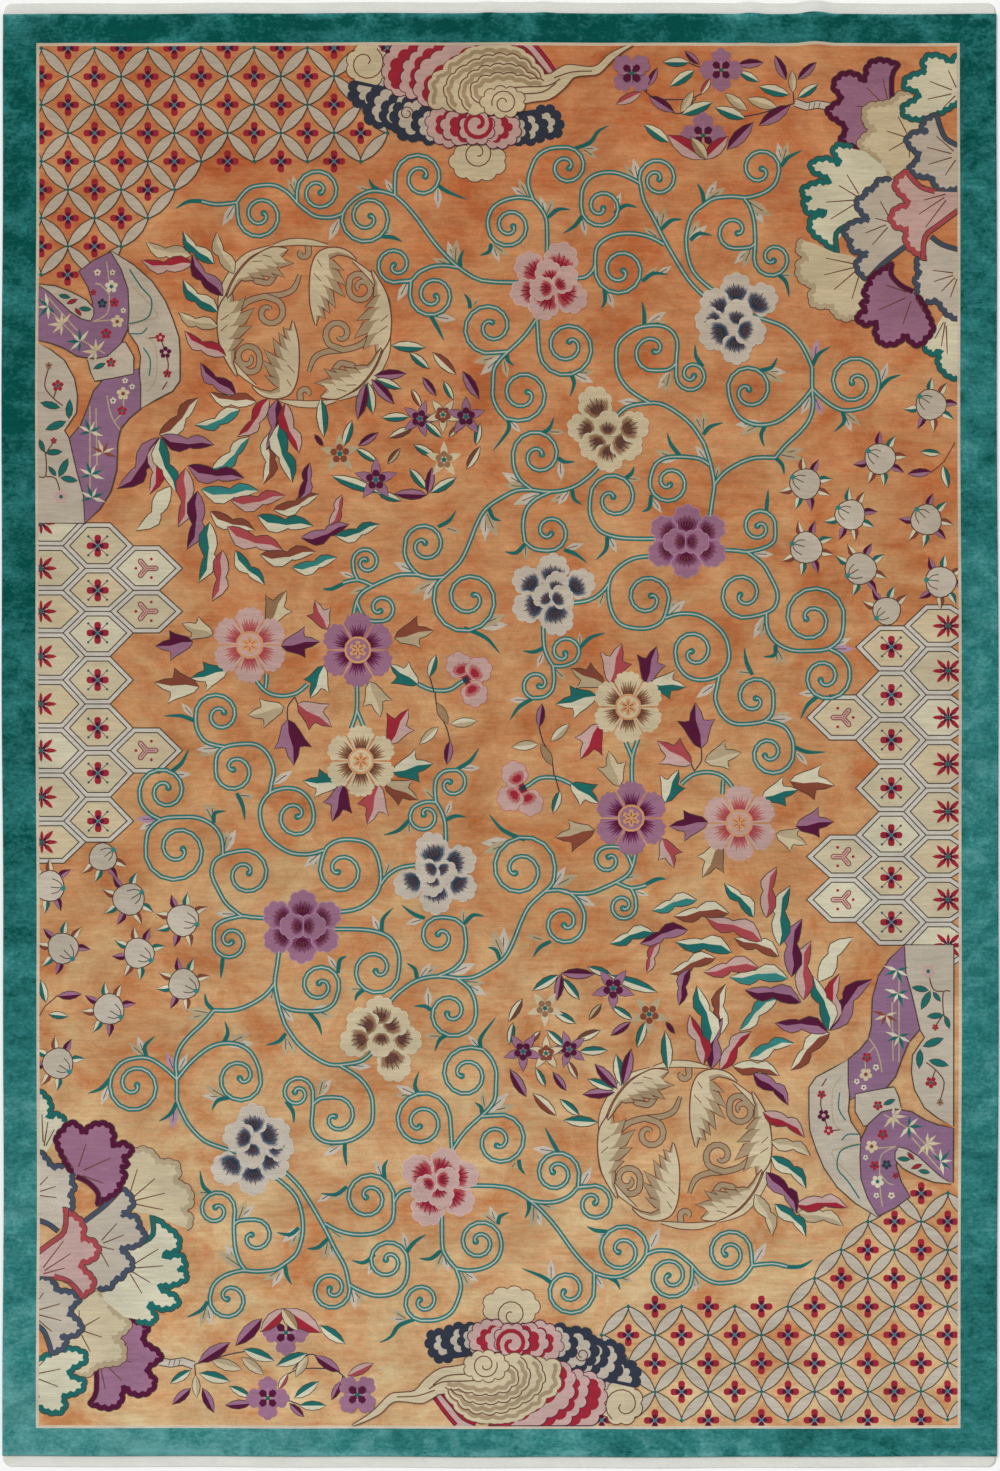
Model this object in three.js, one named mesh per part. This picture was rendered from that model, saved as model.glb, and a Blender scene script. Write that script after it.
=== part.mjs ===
// A large hand-knotted Chinese art deco rug, lying flat on the floor.
// Millimetres, +Z up. X runs across the rug and Y along it, towards its head end.
// The origin is the middle of the underside, on the floor.
import * as THREE from "three";

// Driving sizes
const RUG_WIDTH = 2735; // across, selvedge to selvedge
const RUG_LENGTH = 4026; // along, with the woven ends
const END_WEB = 30; // length of the flat-woven strip that closes each end
const PILE_THICKNESS = 12; // foundation and cut wool together
const WEB_THICKNESS = 3.2; // the bare cotton weave of the ends
const JOIN_GAP = 0.3; // between the last row of knots and the end web
const WEB_CORNER = 24; // how much of each web's outer corner is rounded off
const SHOULDER_WIDTH = 7; // the cut pile rolls over at its outer edge
const SHOULDER_DROP = 6; // how far it has come down at the very edge

// Gentle buckles at the head end, where the rug doesn't lie quite flat:
// middle across the rug, half-width, height, how far they reach into the rug,
// and how far they push the edge out.
const BUCKLES = [
  { at: -30, half: 45, height: 2.5, reach: 90, push: 1.5 },
  { at: 122, half: 40, height: 2.5, reach: 90, push: 1.5 },
  { at: 690, half: 50, height: 5, reach: 150, push: 3 },
  { at: 866, half: 62, height: 10, reach: 260, push: 5 },
];

// The slow wander of the woven edges: side, wavelength, size and phase.
const EDGE_WANDER = {
  left: [
    { wavelength: 3300, size: 2.6, phase: 0.4 },
    { wavelength: 900, size: 0.9, phase: 1.1 },
  ],
  right: [
    { wavelength: 3900, size: 3.0, phase: 2.2 },
    { wavelength: 1100, size: 1.0, phase: 0.2 },
  ],
  head: [
    { wavelength: 2400, size: 1.6, phase: 1.9 },
    { wavelength: 420, size: 0.8, phase: 0.5 },
  ],
  foot: [
    { wavelength: 2900, size: 1.8, phase: 0.9 },
    { wavelength: 510, size: 0.8, phase: 2.5 },
  ],
};

// Mesh density
const ACROSS_STEPS = 16;
const ALONG_STEPS = 16;
const BUCKLE_STEPS = 3; // each side of a buckle's middle
const HEAD_STEPS = 4; // extra rows where the buckles fade out

const HALF_WIDTH = RUG_WIDTH / 2;
const HALF_LENGTH = RUG_LENGTH / 2;
const PILE_END = HALF_LENGTH - END_WEB; // where the knots stop at each end
const BUCKLE_REACH = Math.max(...BUCKLES.map((buckle) => buckle.reach));

// A hump that is 1 in the middle and eases to 0 at distance 1.
function hump(distance) {
  const d = Math.abs(distance);
  return d >= 1 ? 0 : (1 + Math.cos(Math.PI * d)) / 2;
}

function wander(side, along) {
  const turns = (wave) => (2 * Math.PI * along) / wave.wavelength + wave.phase;
  return EDGE_WANDER[side].reduce((sum, wave) => sum + wave.size * Math.sin(turns(wave)), 0);
}

// How strongly a buckle acts at a place: full at the head edge, none past its reach.
function buckleShare(buckle, x, y) {
  const inward = Math.max(0, PILE_END - y) / buckle.reach;
  return hump((x - buckle.at) / buckle.half) * hump(inward);
}

function lift(x, y) {
  return BUCKLES.reduce((sum, b) => sum + b.height * buckleShare(b, x, y), 0);
}

function push(x, y) {
  return BUCKLES.reduce((sum, b) => sum + b.push * buckleShare(b, x, y), 0);
}

// Moves a point of the true rectangle to where the woven rug has it.
function settle(x, y) {
  const sideShare = Math.abs(x) / HALF_WIDTH;
  const endShare = Math.abs(y) / HALF_LENGTH;
  const side = x < 0 ? "left" : "right";
  const end = y < 0 ? "foot" : "head";
  const moved = {
    x: x + wander(side, y) * sideShare ** 3 * Math.sign(x),
    y: y + wander(end, x) * endShare ** 8 * Math.sign(y) + push(x, y),
    z: lift(x, y),
  };
  return moved;
}

function evenly(from, to, steps) {
  return Array.from({ length: steps + 1 }, (_, i) => from + ((to - from) * i) / steps);
}

// Sorted, with any two that nearly coincide merged into one.
function distinct(values, closest = 4) {
  const sorted = [...values].sort((a, b) => a - b);
  return sorted.filter((value, i) => i === 0 || value - sorted[i - 1] > closest);
}

// Stations across the rug: even ones, and closer ones over each buckle.
function stationsAcross(from, to) {
  const inside = (x) => x > from + SHOULDER_WIDTH && x < to - SHOULDER_WIDTH;
  const over = BUCKLES.flatMap((b) => evenly(b.at - b.half, b.at + b.half, 2 * BUCKLE_STEPS));
  const even = evenly(from, to, ACROSS_STEPS);
  const nearBuckle = (x) => over.some((o) => Math.abs(o - x) < 14);
  const middle = distinct([...even.filter((x) => inside(x) && !nearBuckle(x)), ...over.filter(inside)]);
  return [from, from + SHOULDER_WIDTH, ...middle, to - SHOULDER_WIDTH, to];
}

function stationsAlong(from, to) {
  const inside = (y) => y > from + SHOULDER_WIDTH && y < to - SHOULDER_WIDTH;
  const nearHead = evenly(PILE_END - BUCKLE_REACH, PILE_END, HEAD_STEPS);
  const middle = distinct([...evenly(from, to, ALONG_STEPS), ...nearHead].filter(inside), 24);
  return [from, from + SHOULDER_WIDTH, ...middle, to - SHOULDER_WIDTH, to];
}

// A closed cloth: a grid of columns and rows, with its top at topHeight(column, row)
// above an underside that follows the buckles.
function clothGeometry(columns, rows, place, topHeight) {
  const across = columns.length;
  const along = rows.length;
  const points = [];
  for (const layer of ["under", "top"]) {
    for (let j = 0; j < along; j += 1) {
      for (let i = 0; i < across; i += 1) {
        const at = place(columns[i], rows[j]);
        const rise = layer === "top" ? topHeight(i, j) : 0;
        points.push(at.x, at.y, at.z + rise);
      }
    }
  }
  const under = (i, j) => j * across + i;
  const top = (i, j) => across * along + under(i, j);
  const faces = [];
  const quad = (a, b, c, d) => faces.push(a, b, c, a, c, d);
  for (let j = 0; j < along - 1; j += 1) {
    for (let i = 0; i < across - 1; i += 1) {
      quad(top(i, j), top(i + 1, j), top(i + 1, j + 1), top(i, j + 1));
      quad(under(i, j), under(i, j + 1), under(i + 1, j + 1), under(i + 1, j));
    }
  }
  for (let i = 0; i < across - 1; i += 1) {
    quad(under(i, 0), under(i + 1, 0), top(i + 1, 0), top(i, 0));
    quad(under(i + 1, along - 1), under(i, along - 1), top(i, along - 1), top(i + 1, along - 1));
  }
  for (let j = 0; j < along - 1; j += 1) {
    quad(under(0, j + 1), under(0, j), top(0, j), top(0, j + 1));
    quad(under(across - 1, j), under(across - 1, j + 1), top(across - 1, j + 1), top(across - 1, j));
  }
  const geometry = new THREE.BufferGeometry();
  geometry.setAttribute("position", new THREE.Float32BufferAttribute(points, 3));
  geometry.setIndex(faces);
  geometry.computeVertexNormals();
  return geometry;
}

// The knotted carpet: full thickness, with a rolled-over shoulder all round.
function pileCarpet() {
  const columns = stationsAcross(-HALF_WIDTH, HALF_WIDTH);
  const rows = stationsAlong(-PILE_END, PILE_END);
  const onRim = (i, j) =>
    i === 0 || j === 0 || i === columns.length - 1 || j === rows.length - 1;
  const height = (i, j) => PILE_THICKNESS - (onRim(i, j) ? SHOULDER_DROP : 0);
  return clothGeometry(columns, rows, settle, height);
}

// One flat-woven end, which follows the pile's wavy edge and has rounded outer corners.
function endWeb(direction) {
  const inner = PILE_END + JOIN_GAP;
  const columns = stationsAcross(-HALF_WIDTH, HALF_WIDTH);
  const rows = evenly(inner, HALF_LENGTH, 3);
  // Columns close in on the outer corners, so that the strip ends in a quarter round.
  const place = (x, along) => {
    const past = Math.max(0, along - (HALF_LENGTH - WEB_CORNER)) / WEB_CORNER;
    const cut = WEB_CORNER * (1 - Math.sqrt(Math.max(0, 1 - past ** 2)));
    const narrowed = (x * (HALF_WIDTH - cut)) / HALF_WIDTH;
    const at = settle(x, direction * along);
    return { x: at.x + narrowed - x, y: at.y, z: at.z };
  };
  const ordered = direction > 0 ? rows : [...rows].reverse();
  const signed = ordered.map((row) => row * direction);
  return clothGeometry(columns, signed, (x, y) => place(x, y * direction), () => WEB_THICKNESS);
}

const fieldWool = new THREE.MeshStandardMaterial({ color: 0xc8824f, roughness: 0.95, metalness: 0 });
const webCotton = new THREE.MeshStandardMaterial({ color: 0xd8d8d0, roughness: 0.9, metalness: 0 });

function piece(name, geometry, material) {
  const mesh = new THREE.Mesh(geometry, material);
  mesh.name = name;
  return mesh;
}

const rug = new THREE.Group();
rug.add(piece("pile_carpet", pileCarpet(), fieldWool));
rug.add(piece("end_web_head", endWeb(1), webCotton));
rug.add(piece("end_web_foot", endWeb(-1), webCotton));

export default rug;
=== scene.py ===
"""A large hand-knotted wool carpet that lies flat on the floor.

The ground pile, its border and guard stripe are one thick sheet between two thin flat-woven ends.
The drawing is knotted in coloured pile: every shape is a small closed inlay that runs through the
sheet, so that it shows on the face and, mirrored, on the back.
The drawing is planned in cartoon squares, counted from the top left corner of the cartoon, with
columns to the right and rows downwards. It has half-turn symmetry, so one half is drawn and each
shape is woven twice.
"""
import math
from collections import namedtuple

import bpy
import numpy as np
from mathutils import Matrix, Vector
from mathutils.geometry import delaunay_2d_cdt


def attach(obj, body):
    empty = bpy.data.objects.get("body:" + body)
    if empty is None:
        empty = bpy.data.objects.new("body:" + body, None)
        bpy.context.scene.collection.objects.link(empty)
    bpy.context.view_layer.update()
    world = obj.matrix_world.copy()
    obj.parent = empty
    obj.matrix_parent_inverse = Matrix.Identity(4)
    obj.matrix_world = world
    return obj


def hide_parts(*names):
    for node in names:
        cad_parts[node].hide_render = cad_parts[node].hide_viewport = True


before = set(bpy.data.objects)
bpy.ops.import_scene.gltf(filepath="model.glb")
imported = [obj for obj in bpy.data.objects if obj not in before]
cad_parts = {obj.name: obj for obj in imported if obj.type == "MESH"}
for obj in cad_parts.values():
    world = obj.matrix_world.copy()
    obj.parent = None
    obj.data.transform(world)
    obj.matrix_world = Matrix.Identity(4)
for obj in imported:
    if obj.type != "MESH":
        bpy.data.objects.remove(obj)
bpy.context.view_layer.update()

# Sizes of the rug, in metres
HALF_WIDTH = 2.735 / 2
HALF_LENGTH = 4.026 / 2
END_WEB = 0.030
PILE_END = HALF_LENGTH - END_WEB
PILE_THICKNESS = 0.012
WEB_THICKNESS = 0.0032
JOIN_GAP = 0.0003

# Low buckles at the head end, where the rug doesn't lie quite flat
BUCKLES = [
    {"at": -0.030, "half": 0.045, "height": 0.0025, "reach": 0.090, "push": 0.0015},
    {"at": 0.122, "half": 0.040, "height": 0.0025, "reach": 0.090, "push": 0.0015},
    {"at": 0.690, "half": 0.050, "height": 0.0050, "reach": 0.150, "push": 0.0030},
    {"at": 0.866, "half": 0.062, "height": 0.0100, "reach": 0.260, "push": 0.0050},
]

# How far each edge strays from a straight line
EDGE_WANDER = {
    "left": [
        {"wavelength": 3.30, "size": 0.0026, "phase": 0.4},
        {"wavelength": 0.90, "size": 0.0009, "phase": 1.1},
    ],
    "right": [
        {"wavelength": 3.90, "size": 0.0030, "phase": 2.2},
        {"wavelength": 1.10, "size": 0.0010, "phase": 0.2},
    ],
    "head": [
        {"wavelength": 2.40, "size": 0.0016, "phase": 1.9},
        {"wavelength": 0.42, "size": 0.0008, "phase": 0.5},
    ],
    "foot": [
        {"wavelength": 2.90, "size": 0.0018, "phase": 0.9},
        {"wavelength": 0.51, "size": 0.0008, "phase": 2.5},
    ],
}

# The cartoon: one square is 27.5 mm, eight knots
SQUARE = 0.0275
MIDDLE = (50.0, 73.5)
TURN = (49.45, 73.4)
GUARD_OUTER = {"left": 3.65, "right": 96.04, "top": 4.35, "bottom": 142.78}
GUARD_INNER = {"left": 3.95, "right": 95.75, "top": 4.65, "bottom": 142.50}

# The face: inlays rise in steps above the ground pile, and the back mirrors them
FIRST_STEP = 0.00012
FACE_STEP = 0.00006
BACK_LEVEL = 0.0014
BACK_STEP = 0.00002
EDGE_ROUND = 0.007

# Dyed yarns, as sRGB from 0 to 255
YARNS = {
    "ash": (172, 158, 140),
    "pale_ash": (180, 166, 149),
    "silver": (184, 175, 162),
    "blush": (194, 163, 153),
    "ivory": (183, 168, 138),
    "pale_ivory": (192, 182, 155),
    "straw": (164, 144, 113),
    "pale_straw": (187, 169, 136),
    "straw_shade": (152, 128, 98),
    "guard": (190, 172, 150),
    "apricot": (188, 134, 90),
    "bronze": (142, 112, 80),
    "crimson": (144, 30, 44),
    "coral": (154, 62, 66),
    "coral_shade": (166, 92, 88),
    "rose": (178, 144, 135),
    "brick": (120, 60, 42),
    "umber": (98, 58, 44),
    "umber_shade": (134, 98, 70),
    "plum": (76, 12, 46),
    "violet": (106, 48, 80),
    "sash_violet": (128, 92, 116),
    "lilac": (140, 96, 117),
    "pale_lilac": (160, 126, 142),
    "teal": (22, 92, 86),
    "ink": (42, 46, 58),
    "grey": (128, 122, 120),
    "mauve": (122, 72, 98),
    "sea": (44, 116, 110),
    "slate": (62, 70, 84),
    "line": (66, 52, 42),
}


def srgb(colour):
    """A colour from 0 to 255 as the linear one that shaders take."""
    shares = [c / 255 for c in colour]
    return [s / 12.92 if s <= 0.04045 else ((s + 0.055) / 1.055) ** 2.4 for s in shares] + [1.0]


# Shape of the cloth


def hump(distance):
    distance = np.minimum(np.abs(distance), 1.0)
    return (1 + np.cos(math.pi * distance)) / 2


def wander(side, along):
    return sum(
        w["size"] * np.sin(2 * math.pi * along / w["wavelength"] + w["phase"])
        for w in EDGE_WANDER[side]
    )


def buckle_share(buckle, x, y):
    inward = np.maximum(0.0, PILE_END - y)
    return hump((x - buckle["at"]) / buckle["half"]) * hump(inward / buckle["reach"])


def settle(x, y, z):
    """Where a point of the straight, flat cloth comes to lie on the floor."""
    across = np.where(x < 0, wander("left", y), wander("right", y))
    along = np.where(y < 0, wander("foot", x), wander("head", x))
    lift = sum(b["height"] * buckle_share(b, x, y) for b in BUCKLES)
    push = sum(b["push"] * buckle_share(b, x, y) for b in BUCKLES)
    x_out = x + across * (np.abs(x) / HALF_WIDTH) ** 3 * np.sign(x)
    y_out = y + along * (np.abs(y) / HALF_LENGTH) ** 8 * np.sign(y) + push
    return np.stack([x_out, y_out, z + lift], axis=-1)


def evenly(low, high, step):
    """Stations from low to high, at most step apart."""
    count = max(1, math.ceil((high - low) / step - 1e-9))
    return [low + (high - low) * i / count for i in range(count + 1)]


def merged(stations, closest=0.0006):
    """Stations in order, without those that nearly meet the one before."""
    kept = []
    for s in sorted(stations):
        if not kept or s - kept[-1] > closest:
            kept.append(s)
    return kept


def on_cloth(column, row):
    """A place on the cartoon as x and y on the straight, flat cloth."""
    return (column - MIDDLE[0]) * SQUARE, (MIDDLE[1] - row) * SQUARE


# Materials


class Nodes:
    """Short ways to add nodes to one tree and link them."""

    def __init__(self, tree):
        self.tree = tree

    def add(self, kind, links=None, values=None, **settings):
        made = self.tree.nodes.new(kind)
        for name, value in settings.items():
            setattr(made, name, value)
        for name, value in (values or {}).items():
            made.inputs[name].default_value = value
        for name, source in (links or {}).items():
            self.tree.links.new(source, made.inputs[name])
        return made

    def math(self, operation, first, second=0.0):
        made = self.tree.nodes.new("ShaderNodeMath")
        made.operation = operation
        for socket, value in zip(made.inputs, (first, second)):
            if isinstance(value, (int, float)):
                socket.default_value = value
            else:
                self.tree.links.new(value, socket)
        return made.outputs[0]

    def noise(self, place, scale, detail=2.0, roughness=0.5, distortion=0.0):
        """Noise from 0 to 1. scale holds how many patches a metre has along x, y and z."""
        scaled = self.add("ShaderNodeVectorMath", {0: place}, operation="MULTIPLY")
        scaled.inputs[1].default_value = scale
        values = {"Scale": 1.0, "Detail": detail, "Roughness": roughness, "Distortion": distortion}
        return self.add("ShaderNodeTexNoise", {"Vector": scaled.outputs[0]}, values).outputs[0]

    def spread(self, value, low, high, to_low, to_high):
        """value from low to high, stretched to between to_low and to_high."""
        values = {"From Min": low, "From Max": high, "To Min": to_low, "To Max": to_high}
        return self.add("ShaderNodeMapRange", {"Value": value}, values).outputs[0]


def pile_grain():
    """The group that every yarn shares: the knots and weft rows as a shade near 1 and a height, and a tint
    that makes the dyes paler towards the foot."""
    tree = bpy.data.node_groups.new("pile_grain", "ShaderNodeTree")
    tree.interface.new_socket("Shade", in_out="OUTPUT", socket_type="NodeSocketFloat")
    tree.interface.new_socket("Height", in_out="OUTPUT", socket_type="NodeSocketFloat")
    tree.interface.new_socket("Fade", in_out="OUTPUT", socket_type="NodeSocketColor")
    n = Nodes(tree)
    place = n.add("ShaderNodeTexCoord").outputs["Object"]
    tufts = n.noise(place, (300, 300, 300), detail=1.0)
    rows = n.noise(place, (26, 240, 26), detail=2.0)
    slubs = n.noise(place, (7, 90, 7), detail=2.0)
    clouds = n.noise(place, (6, 9, 6), detail=3.0)
    shade = n.spread(tufts, 0.3, 0.7, 0.93, 1.07)
    shade = n.math("MULTIPLY", shade, n.spread(rows, 0.3, 0.7, 0.92, 1.08))
    shade = n.math("MULTIPLY", shade, n.spread(slubs, 0.3, 0.7, 0.95, 1.05))
    shade = n.math("MULTIPLY", shade, n.spread(clouds, 0.3, 0.7, 0.9, 1.1))
    height = n.math("ADD", n.math("MULTIPLY", tufts, 0.6), n.math("MULTIPLY", rows, 0.5))
    along = n.add("ShaderNodeSeparateXYZ", {0: place}).outputs[1]
    # Every yarn is tinted paler and cooler towards the foot, and a little darker towards the head.
    foot_tint = blended(n, n.spread(along, -1.7, 1.7, 0.0, 1.0), (1.16, 1.25, 1.33, 1.0), (0.98, 0.97, 0.94, 1.0))
    n.add("NodeGroupOutput", {"Shade": shade, "Height": height, "Fade": foot_tint})
    return tree


def finish_wool(n, colour, height, sheen, bump, specular=0.1):
    """The wool shader under a colour socket and a height socket."""
    bumped = n.add(
        "ShaderNodeBump", {"Height": height}, {"Strength": bump, "Distance": 0.0016}
    )
    values = {
        "Roughness": 0.92,
        "Specular IOR Level": specular,
        "Sheen Weight": sheen,
        "Sheen Roughness": 0.55,
    }
    links = {"Base Color": colour, "Normal": bumped.outputs[0]}
    shader = n.add("ShaderNodeBsdfPrincipled", links, values)
    n.add("ShaderNodeOutputMaterial", {"Surface": shader.outputs[0]})
    return shader


def new_material(name):
    material = bpy.data.materials.new(name)
    material.use_nodes = True
    material.node_tree.nodes.clear()
    return material, Nodes(material.node_tree)


def shaded(n, colour, shade):
    """A colour socket or constant, made lighter or darker by shade."""
    made = n.add("ShaderNodeVectorMath", {"Scale": shade}, operation="SCALE")
    if isinstance(colour, (list, tuple)):
        made.inputs[0].default_value = colour[:3]
    else:
        n.tree.links.new(colour, made.inputs[0])
    return made.outputs[0]


def yarn_material(name, colour, grain):
    """One dyed yarn as cut pile, a little uneven in its dye."""
    material, n = new_material(f"wool_{name}")
    shared = n.add("ShaderNodeGroup", node_tree=grain)
    dyed = shaded(n, srgb(colour), shared.outputs["Shade"])
    foot_tinted = n.add("ShaderNodeVectorMath", {0: dyed, 1: shared.outputs["Fade"]}, operation="MULTIPLY")
    finish_wool(n, foot_tinted.outputs[0], shared.outputs["Height"], sheen=0.12, bump=0.35)
    return material


def blended(n, share, low, high):
    """A colour between two dyed ones or sockets."""
    made = n.add("ShaderNodeMix", {"Factor": share}, data_type="RGBA")
    for socket, value in zip((made.inputs[6], made.inputs[7]), (low, high)):
        if isinstance(value, (list, tuple)):
            socket.default_value = value
        else:
            n.tree.links.new(value, socket)
    return made.outputs[2]


def field_material(grain):
    """The apricot ground, more orange at the head and more golden at the foot, in mottled dye."""
    material, n = new_material("wool_field")
    place = n.add("ShaderNodeTexCoord").outputs["Object"]
    along = n.add("ShaderNodeSeparateXYZ", {0: place}).outputs[1]
    band = n.noise(place, (0.9, 4.0, 1.0), detail=2.0)
    drift = n.math("ADD", along, n.spread(band, 0.3, 0.7, -0.3, 0.3))
    lower = n.spread(drift, -1.9, -0.4, 0.0, 1.0)
    upper = n.spread(drift, -0.4, 1.6, 0.0, 1.0)
    golden = blended(n, lower, srgb((205, 168, 121)), srgb((188, 137, 90)))
    ground = blended(n, upper, golden, srgb((183, 117, 72)))
    mottle = n.noise(place, (4.6, 5.8, 4.0), detail=6.0, roughness=0.74, distortion=0.4)
    streak = n.noise(place, (6.0, 62, 6.0), detail=3.0)
    dye = n.math("ADD", n.spread(mottle, 0.36, 0.64, 0.0, 0.82), n.spread(streak, 0.3, 0.7, 0.0, 0.18))
    tint = blended(n, dye, (0.85, 0.51, 0.34, 1.0), (1.13, 1.42, 1.62, 1.0))
    dyed = n.add("ShaderNodeVectorMath", {0: ground, 1: tint}, operation="MULTIPLY").outputs[0]
    shared = n.add("ShaderNodeGroup", node_tree=grain)
    finish_wool(n, shaded(n, dyed, shared.outputs["Shade"]), shared.outputs["Height"], sheen=0.12, bump=0.35)
    return material


def border_material(grain):
    """Sea-green velvet pile, with painted sheen: the colour is painted lighter where the nap leans the other
    way.
    """
    material, n = new_material("wool_border")
    place = n.add("ShaderNodeTexCoord").outputs["Object"]
    across, along, _ = n.add("ShaderNodeSeparateXYZ", {0: place}).outputs
    # Painted sheen: the border is painted darker or lighter across and along it, as its nap catches the
    # light.
    swing = n.math("SUBTRACT", 0.1, n.math("MULTIPLY", n.math("MULTIPLY", along, along), 0.052))
    swing = n.math("ADD", swing, n.math("MULTIPLY", along, 0.04))
    nap_sheen = n.math("ADD", 0.34, n.math("MULTIPLY", across, swing))
    nap_sheen = n.math("SUBTRACT", nap_sheen, n.math("MULTIPLY", along, 0.12))
    # Patches and streaks of painted nap sheen.
    marks = n.noise(place, (4.5, 6.5, 4.0), detail=5.0, roughness=0.62, distortion=0.8)
    dents = n.noise(place, (18, 26, 16), detail=4.0, roughness=0.7, distortion=0.4)
    brushed = n.noise(place, (80, 110, 80), detail=2.0, roughness=0.7)
    nap_sheen = n.math("ADD", nap_sheen, n.spread(marks, 0.25, 0.75, -0.34, 0.34))
    nap_sheen = n.math("ADD", nap_sheen, n.spread(dents, 0.25, 0.75, -0.26, 0.26))
    nap_sheen = n.math("ADD", nap_sheen, n.spread(brushed, 0.25, 0.75, -0.2, 0.2))
    # Painted highlight on the pile tips near the end webs.
    end = n.spread(n.math("ABSOLUTE", along), PILE_END - 0.022, PILE_END - 0.002, 0.0, 0.4)
    nap_sheen = n.math("ADD", nap_sheen, n.math("MULTIPLY", end, n.spread(dents, 0.35, 0.6, 0.0, 1.0)))
    # The painted sheen runs from dark to light sea green.
    dark = blended(n, n.spread(nap_sheen, 0.0, 0.5, 0.0, 1.0), srgb((2, 74, 68)), srgb((46, 120, 118)))
    green = blended(n, n.spread(nap_sheen, 0.5, 1.0, 0.0, 1.0), dark, srgb((94, 158, 156)))
    shared = n.add("ShaderNodeGroup", node_tree=grain)
    dyed = shaded(n, green, shared.outputs["Shade"])
    finish_wool(n, dyed, shared.outputs["Height"], sheen=0.04, bump=0.4, specular=0.03)
    return material


def web_material():
    """Undyed cotton, flat-woven in weft ribs."""
    material, n = new_material("cotton_web")
    place = n.add("ShaderNodeTexCoord").outputs["Object"]
    ribs = n.noise(place, (60, 900, 60), detail=1.0)
    warps = n.noise(place, (520, 40, 60), detail=1.0)
    dust = n.noise(place, (9, 30, 9), detail=4.0)
    shade = n.math("MULTIPLY", n.spread(ribs, 0.3, 0.7, 0.94, 1.03), n.spread(dust, 0.3, 0.75, 1.03, 0.92))
    cotton = shaded(n, srgb((226, 226, 219)), shade)
    height = n.math("ADD", ribs, warps)
    finish_wool(n, cotton, height, sheen=0.05, bump=0.3)
    return material


# Making meshes


def add_object(name, vertices, faces, materials, slots=None, smooth=False):
    mesh = bpy.data.meshes.new(name)
    mesh.from_pydata([tuple(v) for v in vertices], [], faces)
    for material in materials:
        mesh.materials.append(material)
    if slots is not None:
        mesh.polygons.foreach_set("material_index", slots)
    if smooth:
        mesh.shade_smooth()
    mesh.update()
    made = bpy.data.objects.new(name, mesh)
    bpy.context.scene.collection.objects.link(made)
    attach(made, "root")
    return made


def slab(name, x, y, top, bottom, materials, slot_of=lambda *_: 0):
    """A closed sheet over a grid of places. top and bottom are its heights, and slot_of gives the yarn."""
    upper = settle(x, y, top).reshape(-1, 3)
    lower = settle(x, y, bottom).reshape(-1, 3)
    long, wide = x.shape
    size = wide * long
    faces, slots = [], []
    for j in range(long - 1):
        for i in range(wide - 1):
            a = j * wide + i
            quad = (a, a + 1, a + wide + 1, a + wide)
            faces += [quad, tuple(size + k for k in reversed(quad))]
            slots += [slot_of((x[j, i] + x[j, i + 1]) / 2, (y[j, i] + y[j + 1, i]) / 2)] * 2
    rim = [(0, i) for i in range(wide)] + [(j, wide - 1) for j in range(1, long)]
    rim += [(long - 1, i) for i in range(wide - 2, -1, -1)] + [(j, 0) for j in range(long - 2, 0, -1)]
    ring = [j * wide + i for j, i in rim]
    faces += [(a, size + a, size + b, b) for a, b in zip(ring, ring[1:] + ring[:1])]
    slots += [slot_of(x[0, 0], y[0, 0])] * len(ring)
    return add_object(name, np.vstack([upper, lower]), faces, materials, slots, smooth=True)


def pile_sheet(materials):
    """The ground pile with its border and guard stripe. materials is field, border and guard."""
    insets = [0.0, 0.0008, 0.0022, 0.0044, EDGE_ROUND, 0.012, 0.020, 0.030]
    left, top = on_cloth(GUARD_OUTER["left"], GUARD_OUTER["top"])
    right, bottom = on_cloth(GUARD_OUTER["right"], GUARD_OUTER["bottom"])
    inner_left, inner_top = on_cloth(GUARD_INNER["left"], GUARD_INNER["top"])
    inner_right, inner_bottom = on_cloth(GUARD_INNER["right"], GUARD_INNER["bottom"])
    xs = evenly(-HALF_WIDTH + 0.06, HALF_WIDTH - 0.06, 0.05)
    xs += [s * (HALF_WIDTH - d) for d in insets for s in (-1, 1)]
    for b in BUCKLES:
        xs += evenly(b["at"] - b["half"], b["at"] + b["half"], 0.004)
    ys = evenly(-PILE_END + 0.06, PILE_END - 0.06, 0.05)
    ys += [s * (PILE_END - d) for d in insets for s in (-1, 1)]
    ys += evenly(PILE_END - 0.26, PILE_END - 0.05, 0.012)
    edges_x = [left, inner_left, inner_right, right]
    edges_y = [top, inner_top, inner_bottom, bottom]
    xs = merged([x for x in xs if all(abs(x - e) > 0.0012 for e in edges_x)] + edges_x)
    ys = merged([y for y in ys if all(abs(y - e) > 0.0012 for e in edges_y)] + edges_y)

    def inset(x, y):
        return np.minimum(HALF_WIDTH - np.abs(x), PILE_END - np.abs(y))

    def top_of(x, y):
        share = 1 - np.clip(inset(x, y) / EDGE_ROUND, 0, 1)
        return PILE_THICKNESS - EDGE_ROUND * (1 - np.sqrt(1 - share**2 * 0.98))

    def bottom_of(x, y):
        d = inset(x, y)
        edge = 0.0022 * (1 - np.clip(d / 0.0044, 0, 1)) ** 2
        return edge + BACK_LEVEL * np.clip((d - 0.012) / 0.018, 0, 1)

    def slot_of(x, y):
        if inner_left < x < inner_right and inner_bottom < y < inner_top:
            return 0
        return 2 if left < x < right and bottom < y < top else 1

    x, y = np.meshgrid(xs, ys)
    return slab("ground_pile", x, y, top_of(x, y), bottom_of(x, y), materials, slot_of)


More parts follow.
